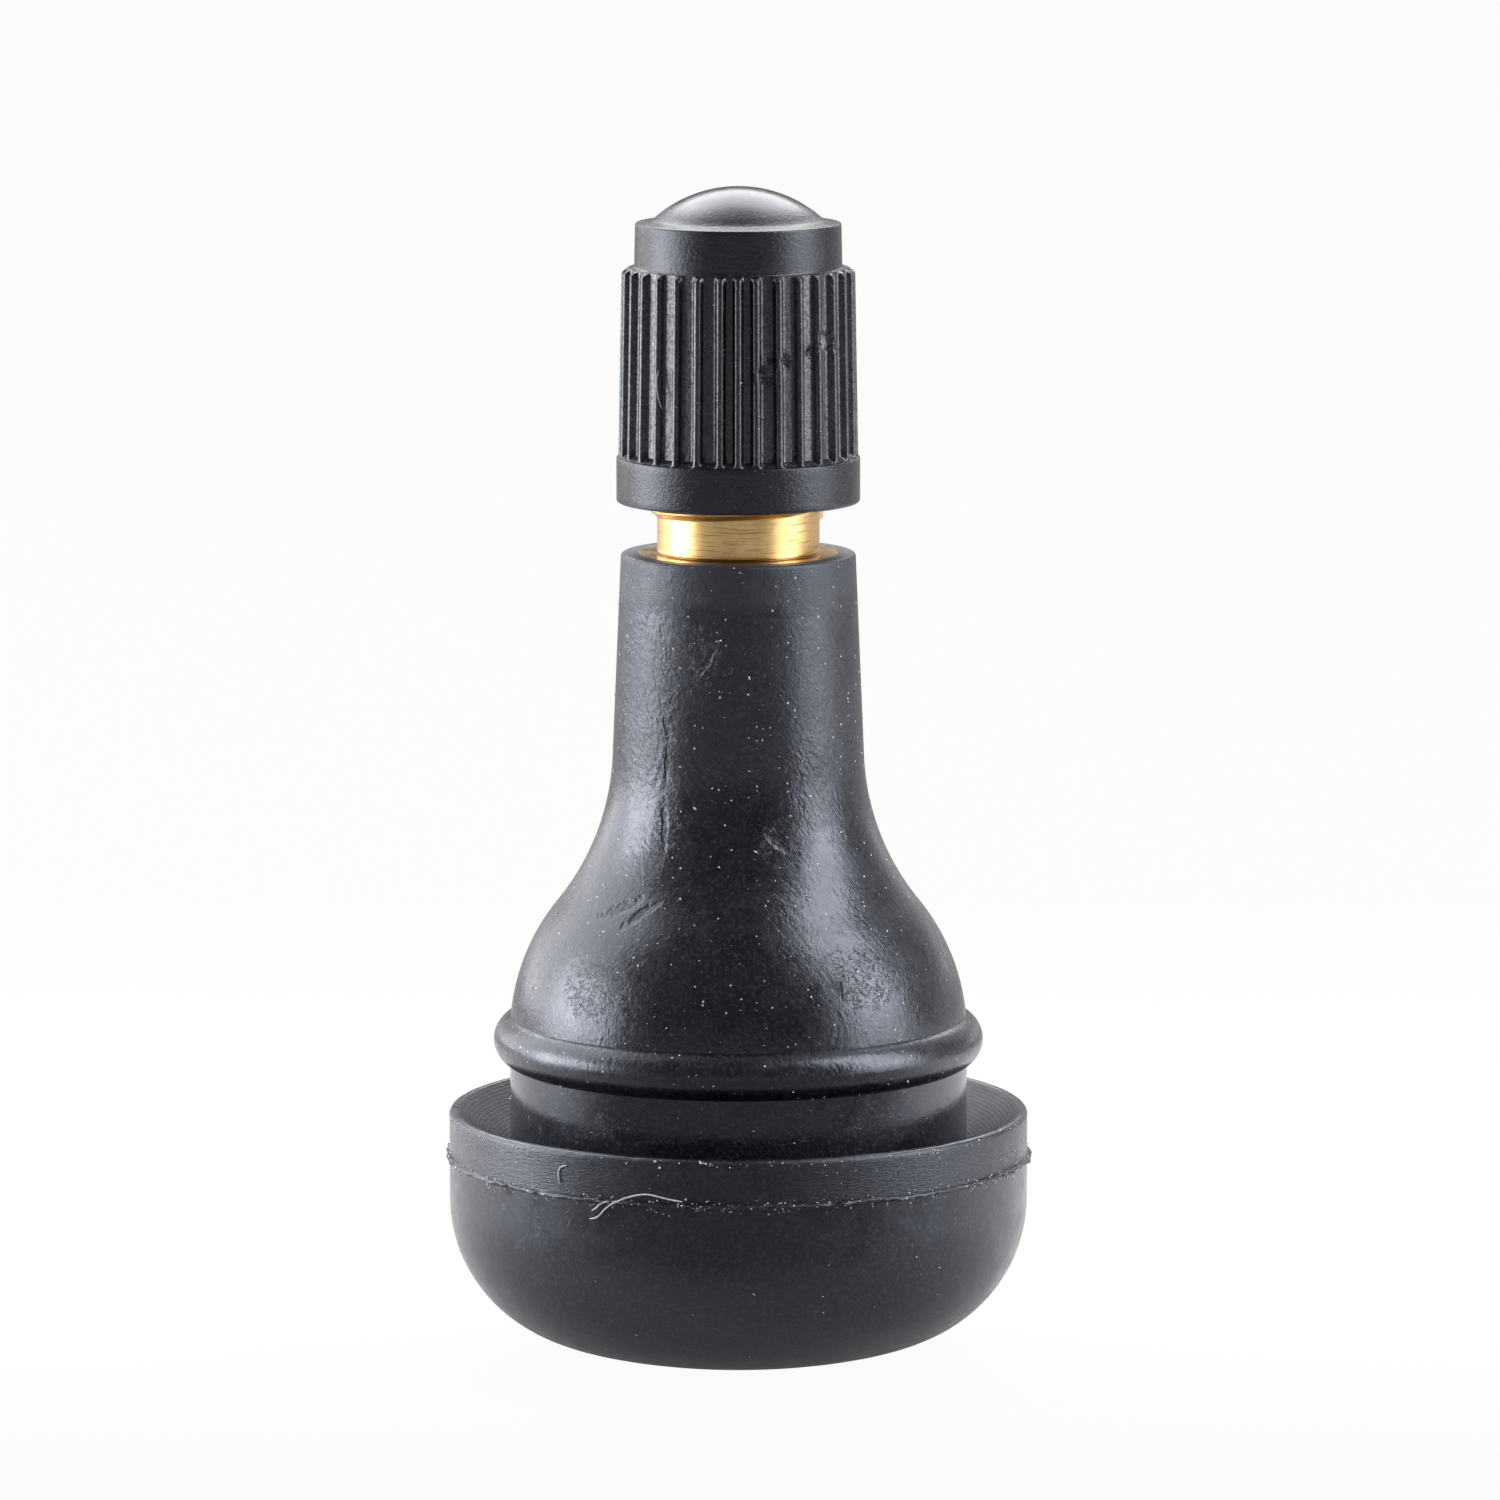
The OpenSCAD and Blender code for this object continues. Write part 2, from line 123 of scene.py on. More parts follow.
class Wire:
    """A shader socket that can be written in sums and products."""

    def __init__(self, tree, socket=None):
        self.tree = tree
        self.socket = socket

    def node(self, kind, settings=None, values=None, out=0):
        made = self.tree.nodes.new("ShaderNode" + kind)
        for key, value in (settings or {}).items():
            setattr(made, key, value)
        for key, value in (values or {}).items():
            if isinstance(value, Wire):
                self.tree.links.new(value.socket, made.inputs[key])
            else:
                made.inputs[key].default_value = value
        return Wire(self.tree, made.outputs[out] if made.outputs else None)

    def math(self, operation, *values):
        return self.node("Math", {"operation": operation}, dict(enumerate(values)))

    def __add__(self, other):
        return self.math("ADD", self, other)

    def __sub__(self, other):
        return self.math("SUBTRACT", self, other)

    def __rsub__(self, other):
        return self.math("SUBTRACT", other, self)

    def __mul__(self, other):
        return self.math("MULTIPLY", self, other)

    def __gt__(self, other):
        return self.math("GREATER_THAN", self, other)

    def __lt__(self, other):
        return self.math("LESS_THAN", self, other)

    __radd__ = __add__
    __rmul__ = __mul__


def finish(name):
    """A new material, and a wire for adding its nodes."""
    material = bpy.data.materials.new(name)
    material.use_nodes = True
    material.node_tree.nodes.clear()
    return material, Wire(material.node_tree)


def surface(wire, colour, roughness, normal=None, **constants):
    """Ends a material with one shader. Other values are set on its own sockets."""
    values = {"Base Color": colour, "Roughness": roughness}
    if normal:
        values["Normal"] = normal
    values.update({key.replace("_", " "): value for key, value in constants.items()})
    shader = wire.node("BsdfPrincipled", {}, values)
    wire.node("OutputMaterial", {}, {"Surface": shader})


def millimetres(wire, stretch=(1, 1, 1)):
    """Places on the piece in millimetres, stretched for patterns that run one way."""
    place = wire.node("TexCoord", out="Object")
    scale = tuple(1 / MM / s for s in stretch)
    return wire.node("VectorMath", {"operation": "MULTIPLY"}, {0: place, 1: scale})


def noise(wire, place, size, detail=3.0, roughness=0.5, warp=0.0):
    """Uneven grey of about that size in millimetres."""
    values = {"Vector": place, "Scale": 1 / size, "Detail": detail}
    values.update({"Roughness": roughness, "Distortion": warp})
    return wire.node("TexNoise", {}, values, "Fac")


def streaks(wire, place, lean, size, long, warp):
    """Fine lines of about that width, that many times longer and leaning that far to the right."""
    values = {"Vector": place, "Rotation": (0.0, math.radians(lean), 0.0), "Scale": (1.0, 1.0, long)}
    return noise(wire, wire.node("Mapping", {"vector_type": "TEXTURE"}, values), size, 2.0, 0.5, warp)


def rise(wire, value, low, high):
    """0 below the low value and 1 above the high one."""
    return wire.node("MapRange", {}, {"Value": value, "From Min": low, "From Max": high})


def veins(wire, value, half):
    """Thin lines where a noise passes through its middle grey."""
    return 1 - rise(wire, wire.math("ABSOLUTE", value - 0.5), 0.0, half)


def blend(wire, amount, first, second):
    """Two colours mixed by an amount."""
    return wire.node("Mix", {"data_type": "RGBA"}, {0: amount, 6: first, 7: second}, 2)


def specks(wire, place, size, spacing, share):
    """A mask of scattered specks: their size and spacing in millimetres, and how many places have one."""
    values = {"Vector": place, "Scale": 1 / spacing}
    distance = wire.node("TexVoronoi", {}, values, "Distance")
    chance = wire.node("SeparateColor", {}, {0: wire.node("TexVoronoi", {}, values, "Color")}, 0)
    reach = chance * (size / spacing / share)
    return (distance < reach) * (chance < share)


def bump(wire, height, depth, below=None):
    """A bump of that depth in millimetres, laid over another one."""
    values = {"Height": height, "Distance": depth * MM}
    if below:
        values["Normal"] = below
    return wire.node("Bump", {}, values)


NECK_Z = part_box("rubber_body")[1].z / MM
BASE_R = 11.475
FOOT_R = 3.0
UNDERSIDE_R = 15.5
CORNER_R = 5.68
FLASH_Z = 7.87
FLASH_OUT = 0.24
FLASH_T = 0.10
LIP_Z = 9.67
LIP_ROUND = 0.2
LIP_FLAT = 0.12
DISH_DEPTH = 1.6
DISH_RINGS = 15
DISH_RING_DEPTH = 0.004
GROOVE_R = 9.06
GROOVE_CHAMFER = 0.15
BEAD_R = 1.0
BEAD_OUT = 9.7
BEAD_Z = 12.493
BULB_R = 9.03
BULB_LEAN = 5.5
BULB_CURVE = 8.4
FLARE_CURVE = 10.0
NECK_R = 4.63
NECK_DRAFT = 2.4
NECK_ROUND = 0.15
COLLAR_R = 3.94
COLLAR_T = 1.2
SHANK_R = 3.3
SHANK_Z = 12.5
GRIPS = 4
GRIP_W = 1.2
GRIP_DEPTH = 0.35
AIR_R = 2.05
AIR_FLARE = 0.4
RUBBER_SEGMENTS = 336


def underside():
    """The foot, the shallow underside and the corner that rises to the straight side."""
    corner_x = BASE_R - CORNER_R
    corner_z = UNDERSIDE_R - math.sqrt((UNDERSIDE_R - CORNER_R) ** 2 - (corner_x - FOOT_R) ** 2)
    turn = math.degrees(math.atan2(corner_z - UNDERSIDE_R, corner_x - FOOT_R))
    points = arc((FOOT_R, UNDERSIDE_R), UNDERSIDE_R, -90, turn, 8)
    return points + arc((corner_x, corner_z), CORNER_R, turn, 0, 22)[1:]


def lip():
    """The straight side, the mould flash, the lip's edge and the dish with its turned rings."""
    edge = (BASE_R - LIP_ROUND, LIP_Z - LIP_ROUND)
    points = run((BASE_R, FLASH_Z - 1.5), (BASE_R, FLASH_Z - FLASH_T), 0.3)
    points += arc((BASE_R, FLASH_Z), FLASH_T, -90, 90, 8)
    points += run((BASE_R, FLASH_Z + FLASH_T + 0.06), (BASE_R, edge[1]), 0.2)
    points += arc(edge, LIP_ROUND, 0, 90, 6)
    inner_r = GROOVE_R + GROOVE_CHAMFER
    outer_r = edge[0] - LIP_FLAT
    steps = DISH_RINGS * 4
    for i in range(steps + 1):
        share = i / steps
        wave = math.sin(share * DISH_RINGS * 2 * math.pi) * DISH_RING_DEPTH
        points.append((outer_r + (inner_r - outer_r) * share, LIP_Z - DISH_DEPTH * share + wave))
    return points


def bulb():
    """The rim groove, the snap bead, the bulb, the flare and the drafted neck."""
    bead_x = BEAD_OUT - BEAD_R
    low = -math.degrees(math.acos((GROOVE_R - bead_x) / BEAD_R))
    top = math.degrees(math.acos((BULB_R - bead_x) / BEAD_R))
    points = run((GROOVE_R, LIP_Z - DISH_DEPTH + GROOVE_CHAMFER), (GROOVE_R, BEAD_Z - BEAD_R), 0.25)
    points += arc((bead_x, BEAD_Z), BEAD_R, low, top, 20)
    lean = math.radians(BULB_LEAN)
    draft = math.radians(NECK_DRAFT)
    slope = math.tan(draft)
    bulb_x = BULB_R - BULB_CURVE * math.cos(lean)
    bulb_z = points[-1][1] - BULB_CURVE * math.sin(lean)
    reach = BULB_CURVE + FLARE_CURVE
    across = NECK_R + NECK_Z * slope + FLARE_CURVE / math.cos(draft) - bulb_x
    square = 1 + slope ** 2
    linear = -2 * (across * slope + bulb_z)
    constant = across ** 2 + bulb_z ** 2 - reach ** 2
    flare_z = (math.sqrt(linear * linear - 4 * square * constant) - linear) / (2 * square)
    flare_x = across + bulb_x - flare_z * slope
    join = math.degrees(math.atan2(flare_z - bulb_z, flare_x - bulb_x))
    points += arc((bulb_x, bulb_z), BULB_CURVE, BULB_LEAN, join, 40)[1:]
    points += arc((flare_x, flare_z), FLARE_CURVE, join + 180, 180 + NECK_DRAFT, 40)[1:]
    points += run(points[-1], (NECK_R, NECK_Z - NECK_ROUND), 0.25)[1:]
    return points + arc((NECK_R - NECK_ROUND, NECK_Z - NECK_ROUND), NECK_ROUND, 0, 90, 5)


def shank():
    """The collar and the grooved shank that the rubber is bonded to, from the neck's top down."""
    collar_z = NECK_Z - COLLAR_T
    grip_r = SHANK_R - GRIP_DEPTH
    points = [(COLLAR_R, NECK_Z), (COLLAR_R, collar_z), (SHANK_R, collar_z)]
    for i in range(GRIPS, 0, -1):
        middle = SHANK_Z + i * (collar_z - SHANK_Z) / (GRIPS + 1)
        high = middle + GRIP_W / 2
        low = middle - GRIP_W / 2
        points += [(SHANK_R, high), (grip_r, high), (grip_r, low), (SHANK_R, low)]
    return points + [(SHANK_R, SHANK_Z), (AIR_R, SHANK_Z)]


def moulded(turn, radius, height):
    """Tears the flash unevenly, nicks the lip and the neck's edge and lets the sides swell a little."""
    flash = np.clip(radius - BASE_R, 0, None) / FLASH_T
    torn = 0.60 + 0.16 * ripple(turn, (3, 7, 16, 29), 11) + 0.16 * ripple(turn, (37, 61, 83, 113), 12)
    torn = torn + 0.12 * ripple(turn, (127, 139, 151), 16)
    radius = radius + flash * (np.clip(torn, 0.15, 1.0) * FLASH_OUT - FLASH_T)
    sag = 0.05 * ripple(turn, (5, 9, 14, 23), 13) + 0.03 * ripple(turn, (71, 97, 131), 17)
    height = height + flash * sag
    edge = np.exp(-((height - LIP_Z) / 0.12) ** 2) * (radius > BASE_R - 0.6)
    nick = np.clip(ripple(turn, (34, 55, 89, 121, 144), 14) - 0.8, 0, None)
    collar_edge = np.exp(-((height - NECK_Z) / 0.10) ** 2) * (radius > COLLAR_R + 0.3)
    chip = np.clip(ripple(turn, (31, 47, 77, 102), 18) - 0.9, 0, None)
    swell = 0.010 * ripple(turn, (2, 3, 5), 15) * (radius > GROOVE_R) * (height > 1.0)
    radius = radius - edge * nick * 0.035 - collar_edge * chip * 0.03 - np.abs(swell)
    return radius, height - edge * nick * 0.03 - collar_edge * chip * 0.025


outline = underside() + lip() + bulb() + shank() + [(AIR_R, AIR_FLARE), (AIR_R + AIR_FLARE, 0.0)]
rubber = turned("rubber_body_moulding", outline, around(RUBBER_SEGMENTS), moulded)

FRONT = math.radians(-90)
lip_inset = LIP_ROUND * 0.3
rubber_side = underside() + [(BASE_R, LIP_Z - LIP_ROUND), (BASE_R - lip_inset, LIP_Z - lip_inset)]
rubber_top = bulb()


def on_rubber(angle, z, off=0.0):
    """A point on the rubber's outside, by its angle in degrees to the right of the front."""
    r, heights = np.array(rubber_side if z < LIP_Z else rubber_top).T
    turn = FRONT + math.radians(angle)
    out = np.interp(z, heights, r) + off
    return np.array([out * math.cos(turn), out * math.sin(turn), z])


def mark(piece, name, marks):
    """Stores how near each point is to the middle of single marks, each given by its angle and height on
    the rubber, how far it leans to the right, its length and its width."""
    points = np.array([point.co for point in piece.data.vertices]) / MM
    near = np.zeros(len(points))
    for angle, z, lean, long, wide in marks:
        turn = FRONT + math.radians(angle)
        slant = math.radians(lean)
        off = points - on_rubber(angle, z)
        side = off[:, 1] * math.cos(turn) - off[:, 0] * math.sin(turn)
        inward = off[:, 0] * math.cos(turn) + off[:, 1] * math.sin(turn)
        along = side * math.sin(slant) + off[:, 2] * math.cos(slant)
        across = side * math.cos(slant) - off[:, 2] * math.sin(slant)
        away = np.sqrt((2 * along / long) ** 2 + (2 * across / wide) ** 2 + inward ** 2)
        near = np.maximum(near, 1 - away)
    piece.data.attributes.new(name, "FLOAT", "POINT").data.foreach_set("value", near)


NECK_BAND_Z = NECK_Z - 1.75
NECK_DULL_LOW_Z = 23.0
NECK_DULL_HIGH_Z = 27.0
CREASES = (
    (-42, 18.5, 65, 3.4, 0.8), (-34, 18.3, 50, 2.8, 0.6), (-33, 21.7, -12, 3.6, 0.5),
    (-34, 25.3, -24, 1.8, 0.4), (-34, 24.0, 0, 2.0, 0.4), (28, 15.7, 7, 1.3, 0.3),
    (-14, 28.2, 30, 2.0, 0.4), (-5, 27.8, 50, 1.2, 0.4), (16, 21.1, -52, 1.8, 0.5),
    (150, 17.5, 40, 2.4, 0.6), (-140, 22.0, -20, 2.8, 0.5), (115, 26.0, -50, 1.8, 0.5),
)
CRACKLED = (
    (-41, 15.6, 0, 4.0, 4.0), (36, 16.2, 0, 4.4, 4.8), (17, 21.0, 0, 2.4, 2.2), (-20, 28.4, 0, 3.0, 2.8),
    (-33, 21.6, 0, 4.4, 1.6), (120, 16.5, 0, 4.4, 4.0), (-125, 15.5, 0, 4.0, 3.6), (190, 21.5, 0, 3.0, 2.8),
)
BRUSHED = (
    (-50, 26.2, 0, 10.0, 4.4), (40, 23.0, 0, 5.0, 3.0), (140, 25.5, 0, 9.0, 4.0), (-150, 24.0, 0, 8.0, 3.6),
)
mark(rubber, "creased", CREASES)
mark(rubber, "crackled", CRACKLED)
mark(rubber, "brushed", BRUSHED)


def marked(wire, name, ragged, low, high):
    """A mask of the marks stored under a name, with ragged edges."""
    near = wire.node("Attribute", {"attribute_name": name}, out="Fac")
    return rise(wire, near + ragged, low, high)


material, wire = finish("moulded_rubber")
place = millimetres(wire)
height = wire.node("SeparateXYZ", {}, {0: place}, 2)
across = wire.node("VectorMath", {"operation": "MULTIPLY"}, {0: place, 1: (1, 1, 0)})
out = wire.node("VectorMath", {"operation": "LENGTH"}, {0: across}, "Value")
patch = noise(wire, place, 2.6, 4.0, 0.6, 0.8)
worn = rise(wire, height, BEAD_Z - 0.8, BEAD_Z + 0.3)
wiped = rise(wire, height + (patch - 0.5) * 1.6, NECK_BAND_Z - 0.15, NECK_BAND_Z + 0.25)
side = (height > FLASH_Z) * (height < LIP_Z - 0.05) * (out > BASE_R - 0.15)
dish = (out > GROOVE_R + 0.1) * (out < BASE_R - 0.4)
dish = dish * (height > LIP_Z - DISH_DEPTH - 0.1) * (height < LIP_Z + 0.1)
groove = (out < GROOVE_R + 0.08) * (height < BEAD_Z - 0.9) * (height > LIP_Z - DISH_DEPTH)
film = rise(wire, noise(wire, place, 1.2, 5.0, 0.62, 0.9), 0.34, 0.66)
mottle = noise(wire, place, 0.26, 3.0, 0.62, 0.6)
dents = noise(wire, place, 0.8, 2.0, 0.5, 1.2)
ragged = (noise(wire, place, 0.4, 3.0, 0.6) - 0.5) * 1.1
creased = marked(wire, "creased", ragged, 0.25, 0.65)
crackled = marked(wire, "crackled", ragged, 0.15, 0.45)
brushed = marked(wire, "brushed", ragged, 0.1, 0.5)
scuffed = rise(wire, patch, 0.42, 0.58)
left_hair = streaks(wire, place, -42, 0.15, 7.0, 0.45)
right_hair = streaks(wire, place, 16, 0.12, 12.0, 0.35)
hair = (left_hair * scuffed + right_hair * (1 - scuffed)) * worn
torn = veins(wire, noise(wire, place, 0.42, 4.0, 0.68, 1.2), 0.022) * crackled
wipes = noise(wire, millimetres(wire, (5.0, 5.0, 0.5)), 0.10, 4.0, 0.65)
fallen = 1 - rise(wire, wire.math("ABSOLUTE", height - FLASH_Z), 0.06, 0.28)
dust = specks(wire, place, 0.045, 0.30, 0.5) * worn + specks(wire, place, 0.05, 0.15, 0.6) * fallen
grain = rise(wire, noise(wire, place, 0.14, 2.0, 0.5), 0.52, 0.66)
colour = blend(wire, film * (0.2 + mottle), (0.0022, 0.0025, 0.0040, 1), (0.010, 0.0108, 0.0158, 1))
colour = blend(wire, grain * 0.7, colour, (0.038, 0.040, 0.049, 1))
colour = blend(wire, wiped * (0.3 + wipes), colour, (0.030, 0.032, 0.038, 1))
colour = blend(wire, dust, colour, (0.70, 0.70, 0.68, 1))
rough = 0.26 + film * 0.11 + wiped * 0.10 + brushed * 0.05 + dust * 0.2 + creased * 0.2
rough = rough + dish * 0.22 - worn * 0.04 - groove * 0.12
rough = rough + rise(wire, height, NECK_DULL_LOW_Z, NECK_DULL_HIGH_Z) * 0.09
relief = bump(wire, dents * worn, 0.010)
relief = bump(wire, mottle * (0.4 + worn * 0.6), 0.016, relief)
relief = bump(wire, hair, 0.012, relief)
relief = bump(wire, left_hair * brushed, 0.030, relief)
relief = bump(wire, wipes * (wiped + side * 2), 0.014, relief)
relief = bump(wire, 1 - torn, 0.012, relief)
relief = bump(wire, 1 - creased * (0.5 + mottle), 0.050, relief)
surface(wire, colour, rough, relief, Specular_IOR_Level=0.94, Specular_Tint=(0.80, 0.85, 1.0, 1))
rubber.data.materials.append(material)
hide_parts("rubber_body")
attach(rubber, "valve")


# Dust and lint
# Pale dust that the rubber holds on to, thickest along the flash and the lip, a few crumbs of torn
# flash, and loose fibres caught on the flash line. They only lie on the surface.

DUST_COUNT = 800
FLASH_DUST = 300
LIP_DUST = 150
NECK_DUST = 60
DUST_SMALL = 0.020
DUST_LARGE = 0.056
EDGE_DUST_SIZES = (0.022, 0.050)
NECK_DUST_SIZES = (0.018, 0.036)


def crumb(draw, centre, lengths, lean):
    """A crooked eight-sided grain, leaning in the plane that faces the front: its points and faces."""
    ends = np.concatenate([np.eye(3), -np.eye(3)]) * draw.uniform(0.7, 1.0, (6, 1)) * lengths
    cosine = math.cos(lean)
    sine = math.sin(lean)
    tilt = np.array([[cosine, 0, -sine], [0, 1, 0], [sine, 0, cosine]])
    faces = [(0, 1, 2), (1, 3, 2), (3, 4, 2), (4, 0, 2), (1, 0, 5), (3, 1, 5), (4, 3, 5), (0, 4, 5)]
    return ends @ tilt + centre, faces


def strand(path, r, sides=6):
    """A thin fibre along a smooth path, with tapered ends: its points and faces."""
    knots = np.array(path)
    at = np.linspace(0, len(knots) - 1, (len(knots) - 1) * 4 + 1)
    line = np.stack([np.interp(at, range(len(knots)), knots[:, k]) for k in range(3)], axis=-1)
    for i in range(3):
        line[1:-1] = (line[:-2] + 2 * line[1:-1] + line[2:]) / 4
    along = np.gradient(line, axis=0)
    along /= np.linalg.norm(along, axis=1)[:, None]
    outward = line * (1, 1, 0) / np.linalg.norm(line[:, :2], axis=1)[:, None]
    across = np.cross(along, outward)
    across /= np.linalg.norm(across, axis=1)[:, None]
    third = np.cross(along, across)
    taper = r * np.clip(np.minimum(at, at[-1] - at) * 2 + 0.3, 0, 1)[:, None, None]
    side = around(sides)[None, :, None]
    points = line[:, None] + taper * (np.cos(side) * across[:, None] + np.sin(side) * third[:, None])
    faces = [tuple(reversed(range(sides)))]
    last = (len(line) - 1) * sides
    for start in range(0, last, sides):
        end = start + sides
        for corner in range(sides):
            following = (corner + 1) % sides
            faces.append((start + corner, start + following, end + following, end + corner))
    return points.reshape(-1, 3), faces + [tuple(range(last, last + sides))]


def gathered(name, parts):
    """One piece of many small solids."""
    points = []
    faces = []
    start = 0
    for part_points, part_faces in parts:
        points.append(part_points)
        faces += [tuple(start + i for i in face) for face in part_faces]
        start += len(part_points)
    return solid(name, np.concatenate(points), faces, sharp=30)


draw = np.random.default_rng(21)
grains = []


def settle(angle, z, size):
    """Lays one grain of dust on the rubber."""
    lengths = size * draw.uniform(0.7, 1.3, 3)
    grains.append(crumb(draw, on_rubber(angle, z, size * 0.25), lengths, draw.uniform(0, math.pi)))


while len(grains) < DUST_COUNT:
    angle = draw.uniform(-180, 180)
    z = draw.uniform(1.2, NECK_Z - 0.6)
    drift = math.sin(math.radians(angle * 5) + z * 1.7) * math.sin(math.radians(angle * 3) - z * 0.9)
    thick = 0.25 if z < FLASH_Z else 1.0
    if draw.uniform() < (0.5 + 0.5 * drift) * thick:
        settle(angle, z, DUST_SMALL + (DUST_LARGE - DUST_SMALL) * draw.uniform() ** 3)
for i in range(FLASH_DUST):
    off = draw.choice((-1, 1)) * (0.08 + 0.22 * draw.uniform() ** 1.5)
    settle(draw.uniform(-180, 180), FLASH_Z + off, draw.uniform(*EDGE_DUST_SIZES))
for i in range(LIP_DUST):
    settle(draw.uniform(-180, 180), LIP_Z - draw.uniform(0.06, 0.25), draw.uniform(*EDGE_DUST_SIZES))
for i in range(NECK_DUST):
    settle(draw.uniform(-180, 180), NECK_Z - draw.uniform(0.04, 0.3), draw.uniform(*NECK_DUST_SIZES))
dust_grains = gathered("rubber_dust", grains)

CRUMBS = (
    (-48.8, 11.60, 0.16, 0.3), (-16.2, 9.58, 0.10, 0.4), (-7.3, 9.60, 0.13, 1.0), (-6.2, 9.55, 0.09, 0.1),
    (30.8, 9.58, 0.10, -0.2), (3.1, 4.4, 0.08, 0.4), (-9.2, 3.5, 0.06, 0.9), (37.1, 5.45, 0.09, -0.6),
    (43.6, 4.85, 0.08, 0.3), (17.1, 4.2, 0.06, 0.0), (17.6, 3.5, 0.05, 0.6), (-22.9, 2.4, 0.07, 0.2),
    (2.9, 1.5, 0.06, -0.3), (-19.2, 22.4, 0.12, 0.7), (7.0, 20.8, 0.11, 0.6), (-2.0, 16.0, 0.08, -0.4),
    (-14.6, 7.54, 0.08, 0.2), (-1.4, 7.70, 0.08, -0.2),
)
flakes = []
for angle, z, size, lean in CRUMBS:
    flakes.append(crumb(draw, on_rubber(angle, z, size * 0.2), size * np.array([1.0, 0.4, 0.4]), lean))
KNOT = (-23.9, 7.92)
flakes.append(crumb(draw, on_rubber(*KNOT, 0.2), np.array([0.22, 0.06, 0.06]), 0.0))
torn_crumbs = gathered("rubber_crumbs", flakes)

FIBRE_R = 0.030
LONG_FIBRE = (
    (-29.5, 7.16), (-27.8, 7.23), (-26.4, 7.57), (-25.1, 7.79), (-23.9, 7.91), (-22.4, 8.07), (-20.3, 8.22),
    (-17.6, 8.33), (-15.2, 8.24), (-12.8, 8.14), (-10.5, 8.08),
)
SPLIT_END = ((-29.1, 7.48), (-28.0, 7.62), (-26.9, 7.85), (-25.3, 7.92))
HOOKED_FIBRE = ((-35.1, 9.13), (-37.0, 9.01), (-37.3, 8.69), (-36.8, 8.34))
fibres = []
for path, off in ((LONG_FIBRE, 0.20), (SPLIT_END, 0.20), (HOOKED_FIBRE, 0.05)):
    fibres.append(strand([on_rubber(angle, z, off) for angle, z in path], FIBRE_R))
lint = gathered("rubber_lint", fibres)

material, wire = finish("pale_dust")
shade = noise(wire, millimetres(wire), 0.2, 3.0)
colour = blend(wire, shade, (0.78, 0.76, 0.70, 1), (0.95, 0.94, 0.92, 1))
surface(wire, colour, 0.7 + shade * 0.2, bump(wire, shade, 0.004))
for piece in (dust_grains, torn_crumbs, lint):
    piece.data.materials.append(material)
    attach(piece, "valve")


# Brass stem
# A turned brass insert. Its collar closes the rubber neck, a relief under the thread shows the turning
# tool's lines, and the cut thread above it runs out in a spiral step, with a burr where the tool left.

TIP_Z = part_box("brass_stem")[1].z / MM
THREAD_R = 3.875
THREAD_PITCH = 0.79375
THREAD_DEPTH = 0.4
TIP_CHAMFER = 0.45
RELIEF_R = 3.2
UNDERCUT = 0.05
RELIEF_Z = NECK_Z + 2 * UNDERCUT
RUNOUT_Z = NECK_Z + 1.05
RUNOUT_SLOPE = 1.6
BURR_SHARE = 0.045
TOOL_LINE = 0.003
THREAD_ROWS = 20
STEM_SEGMENTS = 192
CREST_SHARE = 0.1
FLANK_SHARE = 0.7
SLACK = 1e-6
MOUTH_R = 2.85
MOUTH_CHAMFER = 0.2
MOUTH_Z = TIP_Z - 1.5
CORE_R = 2.65
CORE_Z = TIP_Z - 7.9
CORE_PITCH = 0.7056
CORE_DEPTH = 0.28
PLUG_TOP_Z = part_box("core_plug")[1].z / MM
SEAT_R = 2.35
SEAT_Z = CORE_Z - 2.0


def groove_wave(turn, height, pitch):
    """How far a right-hand thread is cut at each place, from 0 on its crest to 1 at its root."""
    phase = np.mod(height / pitch - turn / (2 * math.pi), 1.0)
    return np.clip((np.abs(2 * phase - 1) - CREST_SHARE) / FLANK_SHARE, 0, 1)


def between(height, low, high, fade):
    """1 between two heights, fading to 0 past them."""
    return np.clip(np.minimum(height - low, high - height) / fade + 1, 0, 1)


row_step = THREAD_PITCH / THREAD_ROWS
thread_low = math.floor(RUNOUT_Z / row_step) * row_step
thread_count = math.ceil((TIP_Z - thread_low) / row_step) + THREAD_ROWS + 1
stem_foot = list(reversed(shank()))
stem_foot += [(RELIEF_R + 0.1, NECK_Z)] + arc((RELIEF_R, NECK_Z + UNDERCUT), UNDERCUT, 270, 90, 8)
stem_foot += run((THREAD_R, RELIEF_Z + 0.03), (THREAD_R, thread_low), 0.03)
stem_thread_rows = [(THREAD_R, thread_low + (i - THREAD_ROWS) * row_step) for i in range(thread_count)]
stem_bores = [(MOUTH_R + MOUTH_CHAMFER, TIP_Z), (MOUTH_R, TIP_Z - MOUTH_CHAMFER), (MOUTH_R, MOUTH_Z)]
stem_bores += run((CORE_R, MOUTH_Z), (CORE_R, CORE_Z), 0.08)
stem_bores += [(CORE_R, CORE_Z), (SEAT_R, CORE_Z), (AIR_R, SEAT_Z)]
stem_climb = np.arange(len(stem_foot) + thread_count + len(stem_bores))
wound = slice(len(stem_foot), len(stem_foot) + thread_count)
stem_climb[wound] = np.minimum(stem_climb[wound] + THREAD_ROWS, wound.stop - 1)


